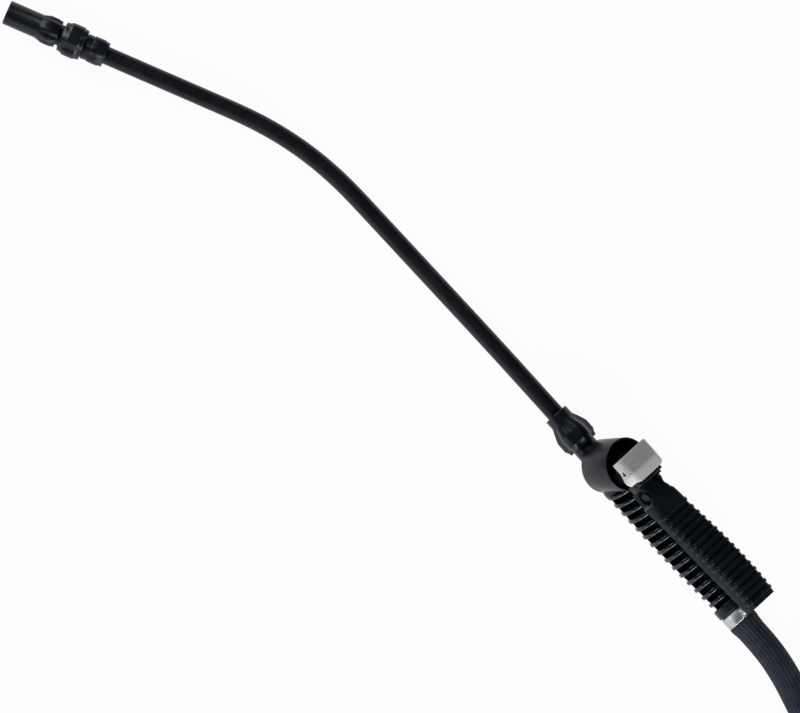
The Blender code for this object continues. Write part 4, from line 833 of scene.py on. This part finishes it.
def makeCore():
    g = grip
    rings = [g["ribFirst"] + g["ribPitch"] * i for i in range(g["ribs"])]
    collar, end, depth, r = g["endCollar"], g["end"], g["ribDepth"], g["endRadius"]
    valleys = [(along, ribRadius(along) - depth) for along in [g["valleyStart"]] + rings]
    core = turn("gripBody", coreFront + valleys + [
        (collar - 0.5, ribRadius(collar) - depth), (collar, r - 0.4), (collar + 0.4, r), (end - 0.6, r),
        (end, r - 0.6), (end, g["endBore"]), (g["boreFloor"], g["endBore"]),
        (g["boreFloor"], g["waterway"])], 64)
    edit(core)
    for side in (-1, 1):
        wall = side * g["pocketSide"] * mm
        pick("VERT", lambda vert: g["pocketStart"] * mm < vert.co.z < (g["endCollar"] - 0.3) * mm
             and vert.co.x < -g["pocketBottom"] * mm and vert.co.y * side > g["pocketSide"] * mm)
        bpy.ops.transform.resize(value=(1, 0, 1), center_override=(0, wall, 0))
    letGo()
    soften(core, 0.2, 2, 32)
    paint(core, blackPlastic)
    # the core between the ribs takes the darker copy: painted shade in the pockets
    paintFaces(core, pocketShadePlastic,
               lambda face: g["paintedShadeStart"] * mm < face.calc_center_median().z < g["endCollar"] * mm)
    return seat(core, towardsHose)


def makeRibs():
    g = grip
    half, r, hub = g["ribThick"] / 2, g["ribRadius"], g["ribRadius"] * g["ribHub"]
    pattern = turn("rib", [(-half, hub), (-half, r - 0.9), (-half + 0.25, r - 0.3), (-half + 0.8, r),
                           (half - 0.8, r), (half - 0.25, r - 0.3), (half, r - 0.9), (half, hub)], 72)
    soften(pattern, 0, angle=40)
    made = []
    for i in range(g["ribs"]):
        along = g["ribFirst"] + g["ribPitch"] * i
        lean = math.radians(g["lean"]) * (1 - i / (g["ribs"] - 1))
        rise = half * math.sin(lean) * g["leanRoom"]  # a leaning rib's rim would stand out further
        size = (ribRadius(along) - rise) / r
        rib = twin(pattern, f"rib{i}")
        leaned = (Matrix.Translation((along * mm, 0, 0)) @ Matrix.Rotation(lean, 4, "Y")
                  @ Matrix.Diagonal((1, size, size / math.cos(lean), 1))
                  @ turned(90, "Y"))
        paint(rib, ribPlastic)
        made.append(seat(rib, handleFrame @ leaned))
    bpy.data.objects.remove(pattern)
    return made


def makeBlock(name, block, segments=3):
    # a block between two corners in the handle's frame, in mm, with rounded edges
    low, high = Vector(block["from"]), Vector(block["to"])
    return soften(addCube(name, (low + high) / 2, high - low), block["edge"], segments)


def makeSideBlock(name, block, side):
    # the same block to either side of the handle's middle
    (x0, y0, z0), (x1, y1, z1) = block["from"], block["to"]
    near, far = sorted((side * y0, side * y1))
    return makeBlock(name, {"from": (x0, near, z0), "to": (x1, far, z1), "edge": block["edge"]})


def makeGrip():
    core = makeCore()
    drum = seat(soften(turn("drum", drumProfile, 96), 0, angle=32), valveFrame)
    inlet = soften(turn("inlet", inletSizes["profile"], 32), 0.1)
    seat(inlet, handleFrame @ Matrix.Translation(Vector(inletSizes["place"]) * mm)
         @ turned(inletSizes["lean"], "Y"))
    pieces = makeRibs() + [inlet]
    for side in (-1, 1):
        pieces.append(seat(makeSideBlock("lug", lugSizes, side), handleFrame))
    pieces.append(seat(makeBlock("ear", earSizes, 5), handleFrame))
    for piece in pieces[grip["ribs"]:]:
        paint(piece, blackPlastic)
    return mergeInto(core, pieces), drum


gripPiece, drumPiece = makeGrip()
print("grip and drum made")

# Lever: a channel with a ridged crown, a raised lip and the fork that lifts the valve
leverSizes = {
    "stations": [(88.3, 10.8, 39, 21), (101, 10.8, 39, 21), (103.5, 12.5, 39, 22.5),
                 (110, 13.4, 38.7, 25.6), (114, 13.8, 38.4, 27), (118, 13.9, 37.3, 28),
                 (130, 13.8, 39.5, 28.6), (142, 13.7, 41.7, 29.3), (154, 13.6, 43.6, 29.8),
                 (166, 13.4, 45.1, 30.4), (178.5, 13.2, 46, 31), (190.5, 12.8, 47, 31.5),
                 (202, 12.3, 46.9, 31.8), (212, 12.1, 45.9, 32)],
    "wall": 2.2, "edge": 3.5, "startHeight": 35, "startHalf": 10,
    "ridges": 16, "ridgeFirst": 117, "ridgePitch": 6, "ridgeHeight": 1.05, "ridgeWidth": 3.1,
    "ridgeDrop": 6.2, "ridgeFoot": 0.9, "ridgeRim": 0.95,
    "pivot": (95.6, 32.4), "recess": 6.6, "recessFloor": 7.8, "recessDepth": 10,
    "nose": {"from": (82, -12.2, 26.5), "to": (88.9, 12.2, 39), "edge": 0.5},
    "lip": {"from": (82, -12.2, 34), "to": (87, 12.2, 44.2), "edge": 0.9},
    "cheek": {"from": (64.5, 3.4, 28.5), "to": (83, 6.2, 35.8), "edge": 0.5},
    "eyeHeight": 35.5, "eyeShift": 0.65, "eyeRadius": 2.1, "eyeStretch": 1.5, "eyeDepth": 20,
    "bearing": [(5.8, 2.05), (5.8, 6.9), (7.8, 6.9), (7.8, 2.05), (5.8, 2.05)],
}


def makeChannel():
    # a block that is cut at the stations, drawn to their sizes, rounded and hollowed
    s = leverSizes
    rows = s["stations"]
    height, half = s["startHeight"], s["startHalf"]
    front, back = rows[0][0], rows[-1][0]
    channel = addCube("squeezeLever", ((front + back) / 2, 0, height), (back - front, 2 * half, 2 * half))
    openUnder(channel)
    for along, *_ in rows[1:-1]:
        selectAll()
        bpy.ops.mesh.bisect(plane_co=(along * mm, 0, 0), plane_no=(1, 0, 0))
    for along, halfWidth, crown, lower in rows:
        for isTop, rise in ((True, crown - height - half), (False, lower - height + half)):
            pick("VERT", lambda vert: abs(vert.co.x - along * mm) < seamGap
                 and (vert.co.z > height * mm) == isTop)
            bpy.ops.transform.translate(value=(0, 0, rise * mm))
        pick("VERT", lambda vert: abs(vert.co.x - along * mm) < seamGap)
        bpy.ops.transform.resize(value=(1, halfWidth / half, 1), center_override=(along * mm, 0, 0))
    pick("EDGE", lambda edge: len(edge.link_faces) == 2 and runsAlong(edge, 0))
    bpy.ops.mesh.bevel(offset=s["edge"] * mm, segments=6)
    letGo()
    thicken(channel, s["wall"])
    x, z = s["pivot"]
    for side in (-1, 1):
        out = side * (s["recessFloor"] + s["recessDepth"] / 2)
        carve(channel, addCrossPin("recess", s["recess"], s["recessDepth"], (x, out, z), 64))
    return soften(channel, 0.35, 2)


def makeHoop(name, shape):
    # a narrow strip that follows a rounded back from side to side, with a round rim; its top is at z = 0
    drop = shape["drop"]
    hoop = addCube(name, (0, 0, -drop / 2), (shape["width"], 2 * shape["halfWidth"], drop))
    openUnder(hoop)
    pick("EDGE", lambda edge: len(edge.link_faces) == 2)
    bpy.ops.mesh.bevel(offset=shape["corner"] * mm, segments=7)
    letGo()
    thicken(hoop, shape["wall"])
    return soften(hoop, shape["rim"], 3, 50)


def stationAt(along):
    rows = leverSizes["stations"]
    for (x0, w0, c0, _), (x1, w1, c1, _) in zip(rows, rows[1:]):
        if along <= x1:
            share = (along - x0) / (x1 - x0)
            return w0 + (w1 - w0) * share, c0 + (c1 - c0) * share
    return rows[-1][1], rows[-1][2]


def makeRidges():
    s = leverSizes
    made = []
    for i in range(s["ridges"]):
        along = s["ridgeFirst"] + s["ridgePitch"] * i
        halfWidth, crown = stationAt(along)
        behind = stationAt(along + 1)[1]
        high = s["ridgeHeight"]
        hoop = makeHoop(f"ridge{i}", {
            "width": s["ridgeWidth"], "halfWidth": halfWidth + high, "drop": s["ridgeDrop"],
            "corner": s["edge"] + high, "wall": high + s["ridgeFoot"],
            "rim": s["ridgeRim"]})
        slope = Matrix.Rotation(-math.atan2(behind - crown, 1), 4, "Y")
        made.append(seat(hoop, Matrix.Translation((along * mm, 0, (crown + high) * mm)) @ slope))
    return made


def makeLever():
    s = leverSizes
    channel = makeChannel()
    x, z = s["pivot"]
    lean = math.radians(valvePlace["lean"])
    eye = (valvePlace["along"] + s["eyeHeight"] * math.sin(lean) + s["eyeShift"], 0,
           valvePlace["up"] + s["eyeHeight"] * math.cos(lean))
    pieces = makeRidges() + [makeBlock(name, s[name]) for name in ("nose", "lip")]
    for side in (-1, 1):
        cheek = makeSideBlock("cheek", s["cheek"], side)
        carve(cheek, addCrossPin("eye", s["eyeRadius"], s["eyeDepth"], eye,
                                 stretch=s["eyeStretch"]))
        pieces.append(cheek)
        bearing = soften(turn("bearing", s["bearing"], 48), 0.1, 1)
        flipped = turned(-90 * side, "X")
        pieces.append(seat(bearing, Matrix.Translation((x * mm, 0, z * mm)) @ flipped))
    for piece in pieces + [channel]:
        paint(piece, leverPlastic)
    paintFaces(channel, leverSidePlastic, lambda face: abs(face.normal.y) > 0.9)  # those that face sideways
    return seat(mergeInto(channel, pieces), handleFrame)


leverPiece = makeLever()
print("lever made")

# Thumb lock: a hood with rounded rear corners and ten fine ribs
lock = {
    "front": 61.5, "back": 84.5, "halfWidth": 15.5, "low": 34, "top": 48.6, "corner": 6.3, "sideEdge": 4.2,
    "wall": 2.0, "hollowEdge": 2.7, "frontEdge": 37.2, "stepFrom": 71, "stepTo": 77, "edge": 0.7,
    "ribs": 10, "ribPitch": 1.45, "ribHeight": 0.55, "ribWidth": 0.75, "ribDrop": 4.6, "ribFirst": 1.0,
    # one value here sets how strong the shade painted between the bars is
    "ribFoot": 0.6, "ribRim": 0.2, "pin": (71.9, 41.2), "pinHole": 2.1, "pinDepth": 8, "paintedGrooveShade": 0.5,
    "spare": 5, "hair": 0.01,
}


def addSlab(name, low, high, rounding, isUpright=False):
    # a block with its two long top edges, or its two upright rear edges, well rounded
    slab = addCube(name, (Vector(low) + Vector(high)) / 2, Vector(high) - Vector(low))
    outer, run = (0, 2) if isUpright else (2, 0)
    edit(slab)
    pick("EDGE", lambda edge: runsAlong(edge, run)
         and all(v.co[outer] > (high[outer] - 0.1) * mm for v in edge.verts))
    bpy.ops.mesh.bevel(offset=rounding * mm, segments=9)
    letGo()
    return slab


def makeLock():
    k = lock
    front, back, half, low, top = (k[key] for key in ("front", "back", "halfWidth", "low", "top"))
    wall, spare, hair = k["wall"], k["spare"], k["hair"]
    hood = addSlab("thumbLock", (front, -half, low), (back, half, top), k["sideEdge"])
    plan = addSlab("plan", (front - spare, -half - hair, low - spare),
                   (back - hair, half + hair, top + spare), k["corner"], True)
    carve(hood, plan, "INTERSECT")
    carve(hood, addSlab("hollow", (front + wall, wall - half, low - spare),
                        (back + spare, half - wall, top - wall), k["hollowEdge"]))
    wedge = addSlab("wedge", (front - spare, -half - spare, low - spare),
                    (k["stepTo"], half + spare, k["frontEdge"]), hair)
    edit(wedge)
    selectAll()
    bpy.ops.mesh.bisect(plane_co=(k["stepFrom"] * mm, 0, 0), plane_no=(1, 0, 0))
    pick("VERT", lambda vert: vert.co.x > (k["stepTo"] - 0.1) * mm and vert.co.z > low * mm)
    bpy.ops.transform.translate(value=(0, 0, (low - k["frontEdge"]) * mm))
    letGo()
    carve(hood, wedge)
    x, z = k["pin"]
    for side in (-1, 1):
        carve(hood, addCrossPin("pinHole", k["pinHole"], k["pinDepth"], (x, side * half, z)))
    soften(hood, k["edge"], 3)
    high = k["ribHeight"]
    bar = makeHoop("bar", {
        "width": k["ribWidth"], "halfWidth": k["halfWidth"] + high, "drop": k["ribDrop"],
        "corner": k["sideEdge"] + high, "wall": high + k["ribFoot"], "rim": k["ribRim"]})
    bars = []
    for i in range(k["ribs"]):
        along = k["front"] + k["ribFirst"] + k["ribPitch"] * i
        place = Matrix.Translation((along * mm, 0, (k["top"] + high) * mm))
        bars.append(seat(twin(bar, f"bar{i}"), place))
    bpy.data.objects.remove(bar)
    return seat(mergeInto(hood, bars), handleFrame)


waveRadians = 20  # in a metre of the wave texture at scale one


def shadeGrooves(finish):
    # painted shade in the grooves between the bars, so the look follows their pitch along the handle
    nodes, links = finish.node_tree.nodes, finish.node_tree.links
    shader = nodes["Principled BSDF"]
    colour = shader.inputs["Base Color"].links[0].from_socket
    here = nodes.new("ShaderNodeTexCoord").outputs["Object"]
    pitch = lock["ribPitch"] * mm
    start = handlePlace["datum"][0] + (lock["front"] + lock["ribFirst"]) * mm
    bars = nodes.new("ShaderNodeTexWave")
    bars.inputs["Scale"].default_value = 2 * math.pi / (waveRadians * pitch)
    bars.inputs["Phase Offset"].default_value = (math.pi - 2 * math.pi * start / pitch) % (2 * math.pi)
    links.new(here, bars.inputs["Vector"])
    split = nodes.new("ShaderNodeSeparateXYZ")
    links.new(here, split.inputs["Vector"])
    onBars = addMath(nodes, links, "LESS_THAN", split.outputs["X"], start + (lock["ribs"] - 0.5) * pitch)
    # the wave's dark half carries the painted shade across each groove
    paintedGrooveShade = addRange(nodes, links, bars.outputs["Fac"], lock["paintedGrooveShade"], 0, (0, 1))
    share = addMath(nodes, links, "MULTIPLY", paintedGrooveShade, onBars)
    shade = nodes.new("ShaderNodeMix")
    shade.data_type = "RGBA"
    links.new(share, shade.inputs["Factor"])
    links.new(colour, shade.inputs[6])
    shade.inputs[7].default_value = (*padLook["paintedGrooveShade"], 1)
    links.new(shade.outputs[2], shader.inputs["Base Color"])


shadeGrooves(padPlastic)
lockPiece = makeLock()
print("thumb lock made")

# Return spring; the valve's lift would shorten it, and the share of its length it then keeps is worked out
spring = {"wire": 0.8, "radius": 4.6, "turns": 3.5, "steps": 24, "stroke": 3.45}


def makeSpring():
    inward = valveFrame.inverted()
    heights = [(inward @ vert.co).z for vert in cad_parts["valve_spring"].data.vertices]
    low, high = min(heights) + spring["wire"] / 2 * mm, max(heights) - spring["wire"] / 2 * mm
    count = round(spring["turns"] * spring["steps"])
    line = []
    for i in range(count + 1):
        angle = 2 * math.pi * spring["turns"] * i / count
        x, y = spring["radius"] * mm * math.cos(angle), spring["radius"] * mm * math.sin(angle)
        line.append(valveFrame @ Vector((x, y, low + (high - low) * i / count)))
    coil = drawTube("returnSpring", line, spring["wire"] / 2 * mm, 3)
    length = max(heights) - min(heights)
    return coil, valveFrame @ Vector((0, 0, max(heights))), 1 - spring["stroke"] * mm / length


springPiece, springTop, springKeep = makeSpring()
print(f"spring made, keeps {springKeep:.2f} of its length")

# Every piece gets its finish and its body, and the nodes it stands for are hidden
dress(gripPiece, None, "black_plastic", "handle", "grip_body")
dress(drumPiece, drumPlastic, "black_plastic", "handle")
dress(leverPiece, None, "lever_plastic", "lever", "lever")
dress(lockPiece, padPlastic, "lock_plastic", "lock", "thumb_lock")
dress(handleNut, blackPlastic, "black_plastic", "handle", "lance_nut")
dress(lanceTube, tubeCoating, "tube_coating", "lance", "lance_tube")
dress(middleNut, blackPlastic, "black_plastic", "lance", "adjust_nut")
dress(smallNut, blackPlastic, "black_plastic", "lance", "tube_nut")
dress(sprayCap, blackPlastic, "black_plastic", "spray_cap", "nozzle_cap")
dress(handleHoseEnd, hoseSkin, "hose_rubber", "handle", "hose_end")
dress(handleBand, clampSteel, "steel", "handle", "clamp_band")
dress(handleScrew, brightSteel, "steel", "handle", "clamp_screw")
dress(farHoseEnd, hoseSkin, "hose_rubber", "handle", "far_hose_end")
dress(farBand, clampSteel, "steel", "handle", "far_clamp_band")
dress(farScrew, brightSteel, "steel", "handle", "far_clamp_screw")
dress(swivelNut, turnedBrass, "brass", "swivel_nut", "end_nut")
dress(hose, hoseSkin, "hose_rubber", "handle", "hose_run", "hose_coil")

dress(springPiece, brightSteel, "steel", "handle", "valve_spring")
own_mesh(springPiece)

nodeFinishes = {
    brightSteel: ("link_pin", "lever_pin_clip", "nozzle_disc", "strainer"),
    blackenedPin: ("lever_pin", "lock_pin"),
    dullBrass: ("valve_stem", "valve_bonnet"),
    turnedBrass: ("hose_barb", "lance_ferrule", "end_barb", "swirl_core"),
    sealRubber: ("valve_seat", "stem_ring", "strainer_seal", "lance_seal", "nozzle_seal", "end_seal"),
    palePlastic: ("tube_collet",),
    blackPlastic: ("nozzle_body",),
}
for finish, names in nodeFinishes.items():
    for name in names:
        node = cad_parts[name]
        node.data.materials.clear()
        node.data.materials.append(finish)
print("all pieces dressed")
